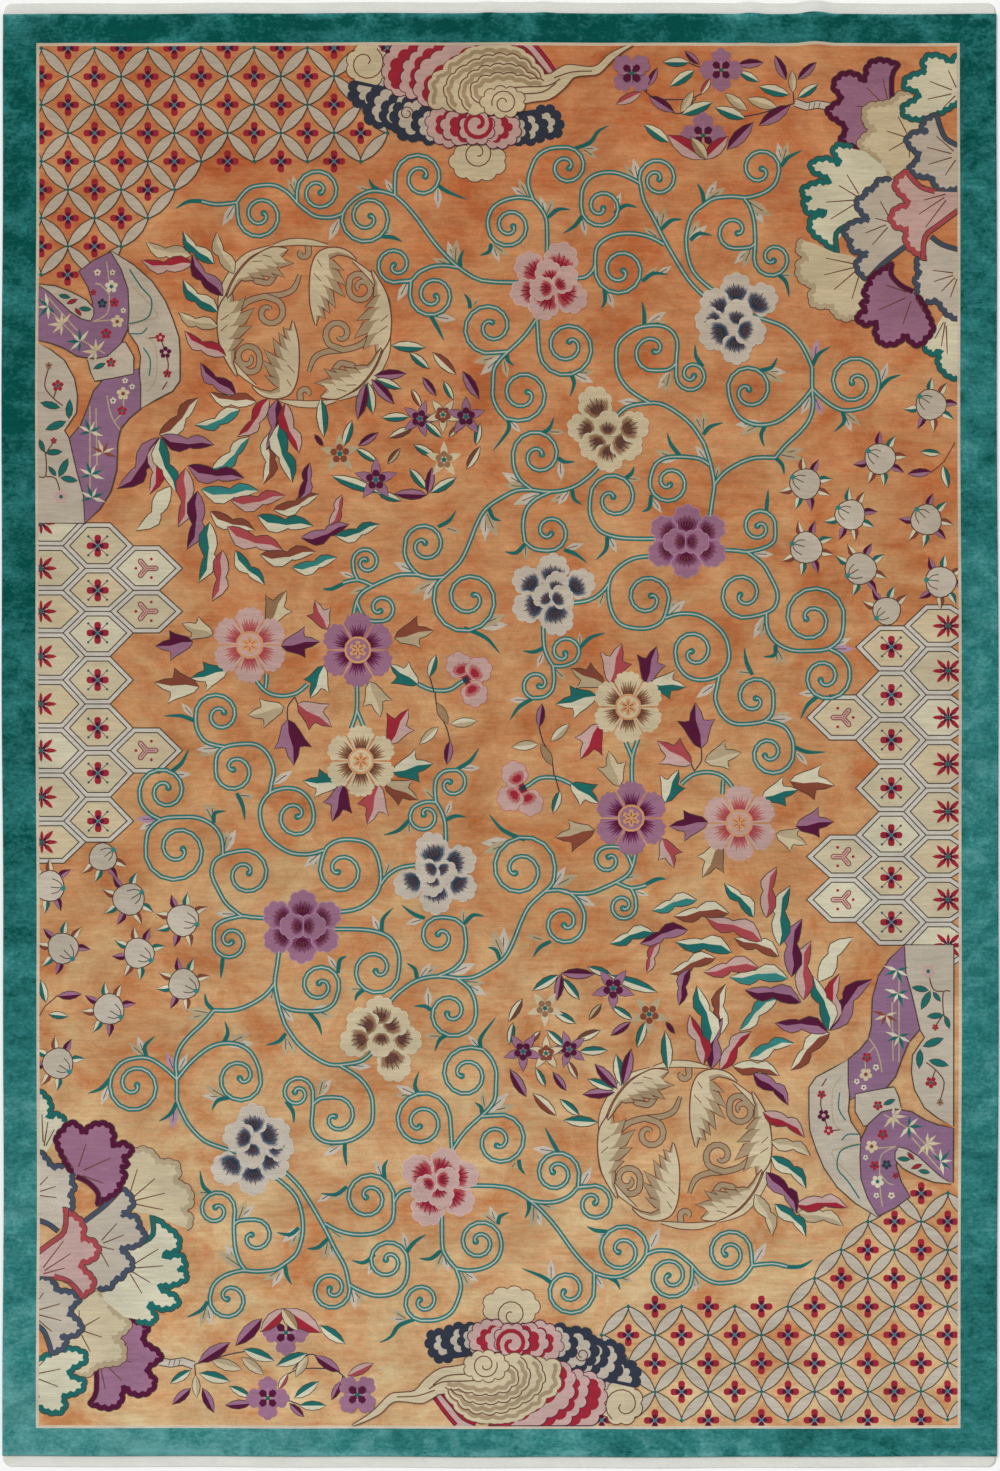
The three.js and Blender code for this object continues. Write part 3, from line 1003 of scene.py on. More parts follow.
# Bare tips that leave a stem: from the stem, by way of a middle point, to the tip
TENDRILS = [
    [(20.6, 20.2), (18.9, 20.2), (17.6, 20.9)], [(38.1, 23.7), (39.3, 23.8), (40.2, 24.2)],
    [(38.2, 19.2), (37.3, 18.7), (36.9, 17.9)], [(43.7, 18.5), (44.7, 19.2), (46.7, 20.0)],
    [(43.0, 31.5), (43.7, 32.7), (44.4, 34.1)], [(46.1, 27.0), (46.0, 26.0), (46.4, 25.0)],
    [(47.0, 30.9), (46.9, 30.1), (46.4, 29.4)], [(50.8, 42.0), (50.8, 43.1), (49.3, 45.1)],
    [(50.7, 35.4), (50.8, 36.1), (51.4, 36.6)], [(56.9, 37.2), (57.4, 38.3), (57.0, 39.7)],
    [(60.4, 28.9), (60.5, 30.1), (60.1, 30.9)], [(64.2, 28.2), (65.3, 27.4), (66.8, 27.5)],
    [(58.3, 21.5), (57.5, 22.6), (56.3, 23.4)], [(61.4, 21.4), (62.5, 20.6), (63.7, 20.8)],
    [(57.5, 14.9), (59.0, 14.3), (59.8, 13.2), (60.9, 12.6)], [(49.1, 24.4), (48.9, 25.2), (48.0, 25.6)],
    [(54.8, 21.8), (55.8, 21.0), (57.0, 21.0)], [(78.1, 16.7), (78.8, 15.8), (80.2, 15.1)],
    [(70.4, 20.5), (70.2, 19.3), (69.7, 18.4)], [(77.8, 27.5), (78.6, 28.3), (78.9, 29.8)],
    [(69.0, 24.1), (69.9, 23.4), (71.2, 23.6)], [(66.1, 23.0), (67.1, 22.1), (68.2, 22.0)],
    [(70.3, 36.7), (69.6, 35.7), (69.5, 34.5)], [(64.4, 32.6), (64.4, 31.4), (64.2, 30.2)],
    [(70.3, 43.5), (71.0, 42.7), (72.3, 42.3)], [(65.1, 49.5), (64.9, 50.8), (64.2, 51.2)],
    [(68.0, 45.6), (67.1, 44.5), (66.7, 43.3)], [(81.2, 36.7), (81.8, 35.5), (83.0, 34.7)],
    [(77.5, 45.8), (78.2, 46.5), (78.4, 47.5)], [(75.8, 37.1), (77.1, 36.8), (77.7, 35.8)],
    [(76.6, 42.5), (76.1, 43.5), (76.4, 44.7)], [(87.9, 39.0), (88.8, 38.0), (90.1, 37.5)],
    [(84.2, 41.1), (84.4, 42.2), (83.4, 43.2)], [(54.0, 43.4), (54.9, 42.9), (55.4, 41.7)],
    [(55.8, 45.8), (56.4, 46.2), (57.5, 46.2)], [(57.2, 48.9), (57.4, 49.9), (58.2, 50.5)],
    [(48.9, 50.8), (49.3, 51.8), (50.1, 52.1)], [(62.3, 48.0), (63.1, 47.4), (63.4, 46.7)],
    [(60.7, 53.5), (60.6, 54.9), (59.6, 56.0)], [(76.6, 51.1), (76.7, 50.1), (76.8, 49.0)],
    [(77.5, 64.5), (77.4, 65.5), (76.3, 65.7)], [(43.8, 52.7), (44.9, 52.1), (45.6, 51.1)],
    [(46.4, 62.8), (48.6, 63.8), (50.0, 65.4)], [(34.5, 58.3), (33.2, 58.9), (32.3, 58.9)],
    [(57.9, 64.9), (59.0, 63.8), (60.5, 63.3)], [(54.5, 64.7), (53.4, 65.2), (52.3, 65.1)],
    [(53.2, 69.9), (51.9, 70.7), (51.0, 72.0)], [(52.5, 54.4), (51.6, 55.3), (50.5, 55.2)],
    [(56.4, 55.0), (57.5, 55.4), (58.7, 56.3)], [(75.2, 67.5), (74.6, 66.2), (74.4, 64.8)],
    [(79.4, 74.7), (80.7, 75.2), (82.5, 75.2)], [(81.8, 69.6), (80.7, 70.5), (80.0, 71.9)],
]

# Leaf sprigs: where they leave the stem, and the angle, length and yarn of each leaf.
# Angles are in degrees, clockwise from pointing right.
Sprig = namedtuple("Sprig", "at leaves")
SPRIGS = [
    Sprig((29.6, 19.5), [(-98, 1.8, "ash"), (-118, 1.7, "straw")]),
    Sprig((23.5, 20.5), [(120, 2.3, "pale_ash")]),
    Sprig((33.9, 22.0), [(115, 2.2, "pale_ash")]),
    Sprig((37.2, 19.2), [(-162, 1.6, "straw")]),
    Sprig((39.4, 19.4), [(-122, 1.6, "pale_ash")]),
    Sprig((38.0, 23.6), [(-38, 1.5, "straw"), (-20, 1.3, "ash")]),
    Sprig((43.8, 18.8), [(90, 2.0, "pale_ash")]),
    Sprig((52.8, 19.8), [(-148, 1.9, "pale_ash"), (-118, 2.0, "straw")]),
    Sprig((54.6, 21.7), [(-106, 2.0, "pale_ash"), (-68, 1.9, "straw")]),
    Sprig((49.2, 24.4), [(68, 1.9, "pale_ash"), (38, 1.9, "straw")]),
    Sprig((58.2, 21.8), [(78, 1.8, "ash")]),
    Sprig((61.5, 20.9), [(-70, 1.6, "pale_ash")]),
    Sprig((58.2, 14.9), [(2, 1.6, "ash"), (34, 1.7, "straw")]),
    Sprig((63.8, 18.1), [(-130, 2.0, "straw"), (-102, 2.1, "pale_ash")]),
    Sprig((66.0, 23.2), [(-102, 2.2, "ash"), (-76, 2.2, "straw")]),
    Sprig((65.8, 23.8), [(-146, 1.7, "straw")]),
    Sprig((45.5, 26.4), [(-108, 2.2, "pale_ash"), (-86, 2.3, "straw")]),
    Sprig((45.2, 26.6), [(-160, 2.0, "straw")]),
    Sprig((40.8, 28.2), [(118, 2.1, "pale_ash")]),
    Sprig((43.4, 31.7), [(8, 2.1, "pale_ash")]),
    Sprig((47.3, 30.6), [(-48, 0.9, "straw")]),
    Sprig((50.2, 35.6), [(166, 2.7, "straw"), (138, 2.7, "pale_ash")]),
    Sprig((50.4, 36.0), [(80, 1.8, "straw")]),
    Sprig((57.3, 37.4), [(-4, 2.0, "straw"), (24, 2.1, "pale_ash")]),
    Sprig((60.6, 29.0), [(68, 1.9, "ash")]),
    Sprig((64.5, 28.0), [(-46, 1.7, "straw")]),
    Sprig((64.7, 32.4), [(-32, 2.1, "pale_ash"), (-4, 1.7, "straw")]),
    Sprig((51.0, 42.1), [(48, 1.5, "pale_ash")]),
    Sprig((54.8, 43.2), [(2, 1.6, "straw")]),
    Sprig((56.0, 46.1), [(86, 1.9, "pale_ash")]),
    Sprig((52.7, 48.7), [(-150, 2.7, "pale_ash"), (-176, 2.2, "straw")]),
    Sprig((53.9, 49.4), [(157, 2.6, "pale_ash")]),
    Sprig((56.9, 49.1), [(148, 2.1, "straw"), (128, 1.7, "pale_ash")]),
    Sprig((63.9, 40.3), [(184, 2.0, "pale_ash")]),
    Sprig((67.0, 37.2), [(126, 2.0, "pale_ash"), (104, 2.1, "straw")]),
    Sprig((67.6, 45.9), [(-158, 2.2, "straw"), (176, 2.0, "pale_ash")]),
    Sprig((70.7, 46.2), [(-126, 1.9, "pale_ash")]),
    Sprig((71.5, 48.2), [(-78, 1.7, "straw")]),
    Sprig((70.3, 43.2), [(-118, 2.0, "straw"), (-88, 1.9, "straw")]),
    Sprig((48.6, 51.2), [(92, 2.7, "pale_ash"), (66, 2.6, "straw")]),
    Sprig((44.6, 52.8), [(18, 1.5, "straw")]),
    Sprig((62.6, 47.9), [(2, 1.5, "straw")]),
    Sprig((65.2, 49.9), [(56, 1.6, "pale_ash")]),
    Sprig((77.9, 45.5), [(-14, 2.3, "straw"), (10, 2.2, "straw")]),
    Sprig((76.2, 42.4), [(178, 2.5, "pale_ash"), (154, 2.4, "straw")]),
    Sprig((81.0, 39.8), [(118, 1.8, "pale_ash")]),
    Sprig((81.5, 39.8), [(68, 1.8, "pale_lilac")]),
    Sprig((84.4, 41.2), [(70, 2.0, "pale_ash"), (40, 2.0, "straw")]),
    Sprig((88.1, 38.2), [(-70, 1.9, "pale_ash")]),
    Sprig((80.9, 36.4), [(-104, 2.3, "straw")]),
    Sprig((81.4, 36.2), [(-82, 2.2, "pale_lilac")]),
    Sprig((76.3, 37.1), [(4, 2.2, "pale_ash"), (30, 2.2, "straw")]),
    Sprig((75.1, 24.8), [(136, 2.2, "pale_ash"), (112, 2.1, "straw")]),
    Sprig((77.9, 27.6), [(-2, 1.4, "straw")]),
    Sprig((70.6, 20.1), [(-62, 2.1, "pale_ash"), (-34, 2.2, "straw")]),
    Sprig((68.9, 24.1), [(-64, 2.2, "straw"), (-40, 2.2, "pale_ash")]),
    Sprig((78.2, 16.4), [(-102, 2.0, "pale_ash"), (-74, 2.1, "straw")]),
    Sprig((74.7, 20.1), [(54, 2.7, "pale_ash"), (34, 2.7, "straw")]),
    Sprig((66.1, 22.7), [(-78, 1.8, "straw")]),
    Sprig((56.6, 54.9), [(-16, 1.7, "pale_ash")]),
    Sprig((52.5, 54.4), [(86, 1.6, "straw")]),
    Sprig((60.8, 53.5), [(64, 1.9, "pale_ash")]),
    Sprig((41.6, 57.3), [(-154, 2.3, "pale_ash")]),
    Sprig((43.7, 58.1), [(154, 2.7, "straw"), (124, 2.3, "pale_ash")]),
    Sprig((35.4, 57.7), [(-162, 1.4, "pale_ash")]),
    Sprig((36.9, 58.8), [(164, 1.9, "straw")]),
    Sprig((47.8, 62.6), [(-2, 2.8, "pale_ash"), (-22, 2.8, "straw")]),
    Sprig((60.4, 59.3), [(112, 1.6, "straw")]),
    Sprig((54.3, 65.3), [(112, 1.5, "pale_ash")]),
    Sprig((55.5, 66.9), [(46, 1.5, "straw")]),
    Sprig((52.7, 70.0), [(180, 1.7, "pale_ash")]),
    Sprig((58.0, 64.5), [(-92, 1.2, "straw")]),
    Sprig((66.8, 61.6), [(-64, 1.9, "straw"), (-42, 2.2, "pale_ash")]),
    Sprig((76.5, 61.6), [(118, 2.4, "pale_ash"), (100, 2.2, "straw")]),
    Sprig((77.6, 64.8), [(88, 1.7, "straw"), (62, 1.8, "straw")]),
    Sprig((83.0, 64.8), [(-26, 2.1, "pale_ash")]),
    Sprig((83.1, 64.9), [(0, 2.1, "pale_lilac")]),
    Sprig((81.8, 69.3), [(178, 1.9, "pale_ash")]),
    Sprig((71.5, 68.4), [(144, 2.2, "pale_ash")]),
    Sprig((75.0, 67.3), [(-174, 1.5, "straw")]),
    Sprig((77.0, 72.0), [(-22, 2.0, "straw"), (-4, 2.1, "pale_ash")]),
    Sprig((79.6, 75.2), [(50, 1.6, "pale_ash")]),
    Sprig((75.4, 55.4), [(2, 1.8, "pale_ash")]),
    Sprig((65.7, 27.5), [(-30, 1.6, "pale_ash")]),
]


def scroll_path(start, centre, eye, hand, turns):
    """A spiral from start that winds round centre and closes on its eye."""
    radius = math.dist(start, centre)
    angle = math.atan2(start[1] - centre[1], start[0] - centre[0])
    count = int(turns * 15)
    path = []
    for k in range(1, count + 1):
        t = k / count
        r = radius * (1 - t**1.55) + 0.22 * t
        a = angle + hand * 2 * math.pi * turns * t
        c = centre[0] + (eye[0] - centre[0]) * t
        w = centre[1] + (eye[1] - centre[1]) * t
        path.append((c + r * math.cos(a), w + r * math.sin(a)))
    return path


def small_leaf(family, at, angle, length, yarn):
    """A narrow leaf with a dark vein."""
    blade = both_sides([(0.0, 0.03), (0.25, 0.15), (0.55, 0.2), (0.82, 0.11), (1.08, 0.0)])
    lay(family, yarn, placed(blade, at, angle, length))
    strip(family, "line", placed([(0.1, 0.0), (0.7, 0.0)], at, angle, length), 0.08)


def tapered(family, yarn, path, widths):
    """A line whose width runs smoothly through widths, from one end to the other."""
    run = smooth(path, steps=5)
    places = np.linspace(0, len(widths) - 1, len(run))
    strip(family, yarn, run, np.interp(places, range(len(widths)), widths))


def vines():
    family = "vines"
    for sprig in SPRIGS:
        for angle, length, yarn in sprig.leaves:
            small_leaf(family, sprig.at, angle, length, yarn)
    for tip in TENDRILS:
        tapered(family, "teal", tip, [0.34, 0.44, 0.4, 0.26, 0.05])
    paths = [smooth(stem, steps=3) for stem in STEMS]
    for scroll in SCROLLS:
        curl = scroll_path(scroll.stem[-1], scroll.centre, scroll.eye, scroll.hand, scroll.turns)
        paths.append(smooth(scroll.stem, steps=3) + curl)
        lay(family, "teal", circle(curl[-1], EYE_SIZE, 10))
        lay(family, "sea", circle(curl[-1], 0.72 * EYE_SIZE, 8))
    for path in paths:
        strip(family, "teal", path, VINE_WIDTH)
    for path in paths:
        strip(family, "sea", path, VINE_BODY)
    for path in paths:
        strip(family, "pale_ash", path, VINE_CORE)


# Peonies and six-petalled flowers


def scalloped(path, count, depth):
    """A path with count round scallops that bulge to its left side, seen along the path."""
    p = np.array(path, dtype=float)
    lengths = np.concatenate([[0], np.cumsum(np.linalg.norm(np.diff(p, axis=0), axis=1))])
    places = np.linspace(0, lengths[-1], count * 5 + 1)
    run = np.stack([np.interp(places, lengths, p[:, k]) for k in (0, 1)], axis=1)
    bulge = np.abs(np.sin(np.linspace(0, math.pi * count, len(run)))) ** 0.7
    made = run - directions(run) * (depth * bulge)[:, None]
    return [tuple(q) for q in made]


def lobe(at, radius, facing, scallops=9, depth=0.1):
    """A round petal with a scalloped rim, left smooth on the side it grows from."""
    arc = [
        placed([(math.cos(a), math.sin(a) * 0.96)], at, facing, radius)[0]
        for a in np.linspace(-math.radians(155), math.radians(155), 22)
    ]
    return scalloped(arc, scallops, depth * radius)


def ragged(low, high, half_angle, teeth):
    """A fan of uneven points round the origin, facing right, from radius low to radius high."""
    made = []
    for k in range(2 * teeth + 1):
        a = math.radians(half_angle) * (k / teeth - 1)
        reach = high * (1.0 if k % 2 else 0.76) * (0.82 + 0.18 * math.cos(a * 1.6) + 0.06 * math.sin(5.0 * k))
        made.append((reach * math.cos(a), reach * math.sin(a)))
    for k in range(3):
        a = math.radians(half_angle) * (1 - k)
        made.append((low * math.cos(a), low * math.sin(a)))
    return made


# One entry for each peony: eye is where its petals grow from, yarns are petal, shade, dark and heart,
# edge is the line between two petals, and the petals are centre and radius, from back to front.
Peony = namedtuple("Peony", "eye yarns edge ray inner petals")
PEONIES = [
    Peony(
        (55.4, 28.9), ("rose", "coral_shade", "coral", "crimson"), "blush", "plum", 4,
        [((56.1, 26.0), 1.6), ((53.0, 26.8), 1.45), ((52.5, 29.3), 1.35), ((54.4, 30.5), 1.45),
         ((57.1, 29.8), 1.5), ((56.7, 27.7), 1.0), ((54.8, 27.3), 1.2), ((56.3, 28.3), 1.0),
         ((54.2, 28.9), 1.15)],
    ),
    Peony(
        (60.7, 43.6), ("pale_straw", "straw_shade", "umber_shade", "umber"), "pale_ivory", "ink", 1,
        [((59.5, 40.4), 1.6), ((58.2, 42.8), 1.35), ((59.4, 44.6), 1.35), ((60.9, 45.7), 1.4),
         ((62.6, 44.5), 1.5), ((63.3, 42.7), 1.45), ((60.8, 42.5), 1.25)],
    ),
    Peony(
        (73.5, 32.8), ("pale_ash", "grey", "slate", "ink"), "silver", "umber", 2,
        [((73.6, 28.9), 1.45), ((76.1, 30.0), 1.55), ((71.5, 30.4), 1.4), ((70.9, 32.1), 1.3),
         ((71.5, 33.5), 1.5), ((73.6, 34.9), 1.45), ((73.8, 31.4), 1.3), ((75.0, 33.2), 1.45)],
    ),
    Peony(
        (68.6, 54.2), ("lilac", "mauve", "violet", "plum"), "pale_lilac", "umber", 2,
        [((68.7, 52.0), 1.4), ((66.4, 52.9), 1.25), ((71.1, 52.9), 1.3), ((66.2, 55.3), 1.3),
         ((71.1, 55.3), 1.35), ((68.6, 56.3), 1.4), ((67.6, 54.2), 1.2), ((69.6, 54.2), 1.2)],
    ),
    Peony(
        (55.2, 60.3), ("pale_ash", "grey", "slate", "ink"), "silver", "umber", 3,
        [((55.3, 57.0), 1.5), ((52.7, 58.1), 1.35), ((58.0, 58.4), 1.4), ((52.9, 60.7), 1.5),
         ((55.7, 61.9), 1.55), ((55.7, 58.3), 1.05), ((54.3, 59.7), 1.0), ((56.1, 59.7), 1.1)],
    ),
]

# The size of each dark patch of a petal, and how many teeth it ends in
PEONY_SHADING = [(1.0, 12), (0.84, 11), (0.56, 8)]


def shading(size, teeth):
    """The toothed patch on the back half of a petal, which has its centre at the origin and faces right."""
    made = [(-0.6, 0.66), (-0.9, 0.3), (-0.9, -0.3), (-0.6, -0.66)]
    for k in range(2 * teeth + 1):
        share = k / teeth - 1
        tooth = (0.15 if k % 2 else -0.1) + 0.05 * math.sin(5.0 * k)
        made.append((0.2 - 0.3 * share * share + tooth, 0.82 * share))
    return [(size * (c + 0.5) - 0.5, size * r) for c, r in made]


def peony(row):
    """Overlapping frilled petals, dark at the foot, with toothed edges between the yarns."""
    family = "peonies"
    rim, *dark = row.yarns
    outer = len(row.petals) - row.inner
    lay(family, rim, circle(row.eye, 2.2, 12))
    for k, (at, radius) in enumerate(row.petals):
        facing = math.degrees(math.atan2(at[1] - row.eye[1], at[0] - row.eye[0]))
        scale = 0.88 if k >= outer else 1.0
        petal = lobe(at, 0.94 * radius, facing, 6 if k >= outer else 7, 0.17)
        lay(family, row.edge, grown(petal, 0.07))
        lay(family, rim, petal)
        for yarn, (size, teeth) in zip(dark, PEONY_SHADING):
            lay(family, yarn, placed(shading(scale * size, teeth), at, facing, radius))
        foot = placed([(-1.0, 0.0)], at, facing, radius)[0]
        for turn, far in ((-24, 1.2), (-8, 1.4), (8, 1.3), (23, 1.15)):
            ray = placed([(0.55 * scale, 0.0), (far * scale, 0.0)], foot, facing + turn, radius)
            strip(family, row.ray, ray, 0.07)


# Six-petalled flowers round a ring of stamens
ROSETTES = [
    {"at": (25.0, 64.5), "radius": 3.8, "yarns": ("rose", "coral_shade", "coral")},
    {"at": (35.8, 65.0), "radius": 3.7, "yarns": ("lilac", "violet", "plum")},
    {"at": (36.1, 76.1), "radius": 3.6, "yarns": ("pale_straw", "umber_shade", "umber")},
]


def rosette(row):
    family = "rosettes"
    at, radius = row["at"], row["radius"]
    rim, shade, heart = row["yarns"]
    half = math.radians(28)
    for k in range(6):
        angle = 30 + 60 * k
        arc = []
        for share in np.linspace(-1, 1, 13):
            reach = 0.95 - 0.24 * abs(share) ** 3.5
            arc.append((reach * math.cos(share * half), reach * math.sin(share * half)))
        petal = [(0.24, -0.12)] + scalloped(arc, 6, 0.05) + [(0.24, 0.12)]
        lay(family, rim, placed(petal, at, angle, radius))
        lay(family, shade, placed(ragged(0.28, 0.72, 22, 7), at, angle, radius))
        lay(family, heart, placed(ragged(0.28, 0.56, 22, 6), at, angle, radius))
    lay(family, "apricot", circle(at, 0.37 * radius, 14))
    lay(family, rim, circle(at, 0.31 * radius, 14))
    lay(family, "apricot", circle(at, 0.24 * radius, 12))
    for k in range(6):
        seed = placed([(0.2 * radius, 0.0)], at, 60 * k)[0]
        lay(family, rim, circle(seed, 0.055 * radius, 6))
        strip(family, heart, placed([(0.05, 0.0), (0.16, 0.0)], at, 60 * k + 30, radius), 0.08)


Leaf = namedtuple("Leaf", "base tip first second")

# Three-lobed leaves round the six-petalled flowers
LOBED_LEAVES = [
    Leaf((26.9, 62.5), (28.5, 59.2), "umber_shade", "pale_straw"),
    Leaf((32.7, 62.9), (31.5, 60.2), "coral", "rose"),
    Leaf((21.3, 63.4), (18.4, 62.5), "straw", "pale_straw"),
    Leaf((19.3, 64.2), (15.8, 64.7), "lilac", "plum"), Leaf((28.2, 64.6), (31.8, 64.1), "lilac", "plum"),
    Leaf((22.7, 67.1), (19.3, 67.9), "pale_ivory", "teal"),
    Leaf((19.9, 68.7), (15.7, 68.4), "pale_ivory", "brick"),
    Leaf((32.4, 66.6), (31.2, 69.7), "pale_ivory", "teal"),
    Leaf((28.4, 70.7), (25.0, 71.6), "straw", "pale_straw"),
    Leaf((29.8, 70.4), (33.1, 72.5), "rose", "coral"), Leaf((28.8, 72.0), (29.5, 76.3), "plum", "lilac"),
    Leaf((33.9, 78.4), (30.5, 78.2), "pale_ivory", "teal"),
    Leaf((39.5, 63.8), (43.2, 63.0), "brick", "straw"),
    Leaf((41.8, 68.4), (39.1, 66.6), "teal", "pale_ivory"),
    Leaf((37.0, 68.2), (38.1, 71.5), "straw", "pale_straw"),
    Leaf((39.0, 74.4), (40.7, 71.0), "crimson", "rose"),
    Leaf((39.3, 77.2), (43.1, 76.3), "pale_ivory", "teal"),
    Leaf((38.5, 78.4), (41.7, 79.8), "straw", "brick"), Leaf((37.9, 78.5), (36.9, 82.3), "rose", "coral"),
    Leaf((34.3, 78.5), (33.4, 82.0), "plum", "lilac"),
]

# The thin stems that join them
BLOSSOM = (46.6, 68.0)
BLOSSOM_PETALS = (-116, -38, 58)
FLOWER_STEMS = [
    [(25.2, 66.0), (25.6, 67.9), (26.7, 69.2), (28.2, 69.6), (29.7, 69.3), (30.8, 68.4)],
    [(26.7, 67.4), (26.6, 68.8)], [(35.7, 68.2), (35.7, 71.0), (35.1, 72.9)], [(35.7, 71.0), (36.4, 72.7)],
    [(41.8, 68.4), (43.2, 69.0), (44.9, 69.0), (46.0, 68.3), (46.6, 68.0)],
    [(29.5, 69.7), (28.8, 70.7), (28.8, 72.0)], [(29.5, 69.7), (29.8, 70.4)],
    [(43.5, 69.2), (43.8, 71.2), (44.6, 72.6), (45.0, 74.1)], [(43.4, 69.2), (43.0, 67.7)],
]

# Small lens-shaped leaves near them
LENS_LEAVES = [
    Leaf((42.9, 67.7), (43.6, 65.5), "pale_ivory", "teal"),
    Leaf((43.7, 70.3), (44.8, 72.4), "bronze", "bronze"),
    Leaf((45.1, 72.4), (47.7, 72.1), "pale_ivory", "straw"),
    Leaf((43.8, 72.7), (42.0, 74.4), "pale_ivory", "straw"),
    Leaf((45.0, 74.1), (44.7, 76.4), "lilac", "plum"),
]


def split_leaf(family, leaf, above, below, vein, line=0.09):
    """A leaf in two yarns. above and below are its edges and vein the line between, from base to tip,
    all drawn on a base of length 1."""
    length = math.dist(leaf.base, leaf.tip)
    angle = math.degrees(math.atan2(leaf.tip[1] - leaf.base[1], leaf.tip[0] - leaf.base[0]))
    whole = above + below[-2:0:-1]
    outline = placed(whole, leaf.base, angle, length)
    lay(family, "line", grown(outline, line))
    lay(family, leaf.first, outline)
    if leaf.second != leaf.first:
        lay(family, leaf.second, placed(vein + below[-2:0:-1], leaf.base, angle, length))


def lobed_leaf(family, leaf):
    above = [(0.0, 0.0), (0.1, -0.13), (0.3, -0.23), (0.5, -0.31), (0.7, -0.43), (0.64, -0.28), (0.65, -0.16),
             (0.84, -0.1), (1.04, 0.03)]
    below = [(0.0, 0.0), (0.12, 0.15), (0.3, 0.22), (0.46, 0.29), (0.6, 0.4), (0.59, 0.26), (0.62, 0.15),
             (0.82, 0.12), (1.04, 0.03)]
    vein = [(0.0, 0.0), (0.3, 0.03), (0.65, -0.02), (1.04, 0.03)]
    split_leaf(family, leaf, above, below, vein)


def lens_leaf(family, leaf, wide=0.17, line=0.08):
    above = [(0.0, 0.0), (0.22, -0.72 * wide), (0.48, -wide), (0.76, -0.7 * wide), (1.0, 0.0)]
    below = [(c, -r) for c, r in above]
    split_leaf(family, leaf, above, below, [(0.0, 0.0), (1.0, 0.0)], line)


def flowers():
    for yarn, width in (("teal", VINE_WIDTH), ("sea", VINE_BODY), ("pale_ash", VINE_CORE)):
        for stem in FLOWER_STEMS[:5]:
            strip("rosettes", yarn, smooth(stem, steps=3), width)
    for stem in FLOWER_STEMS[5:]:
        strip("rosettes", "ink", smooth(stem, steps=3), 0.12)
    for leaf in LOBED_LEAVES:
        lobed_leaf("rosettes", leaf)
    for leaf in LENS_LEAVES:
        lens_leaf("rosettes", leaf)
    for row in PEONIES:
        peony(row)
    for row in ROSETTES:
        rosette(row)
    for angle in BLOSSOM_PETALS:
        at = placed([(1.6, 0.0)], BLOSSOM, angle)[0]
        petal = lobe(at, 1.2, angle, 6, 0.15)
        strip("rosettes", "crimson", [BLOSSOM, at], [0.5, 0.9])
        lay("rosettes", "coral_shade", grown(petal, 0.06))
        lay("rosettes", "rose", petal)
        lay("rosettes", "coral_shade", placed(shading(0.86, 8), at, angle, 1.2))
        lay("rosettes", "crimson", placed(shading(0.52, 6), at, angle, 1.2))
    lay("rosettes", "ink", circle(BLOSSOM, 0.34, 8))


# Long plume leaves between the roundel and the hexagons

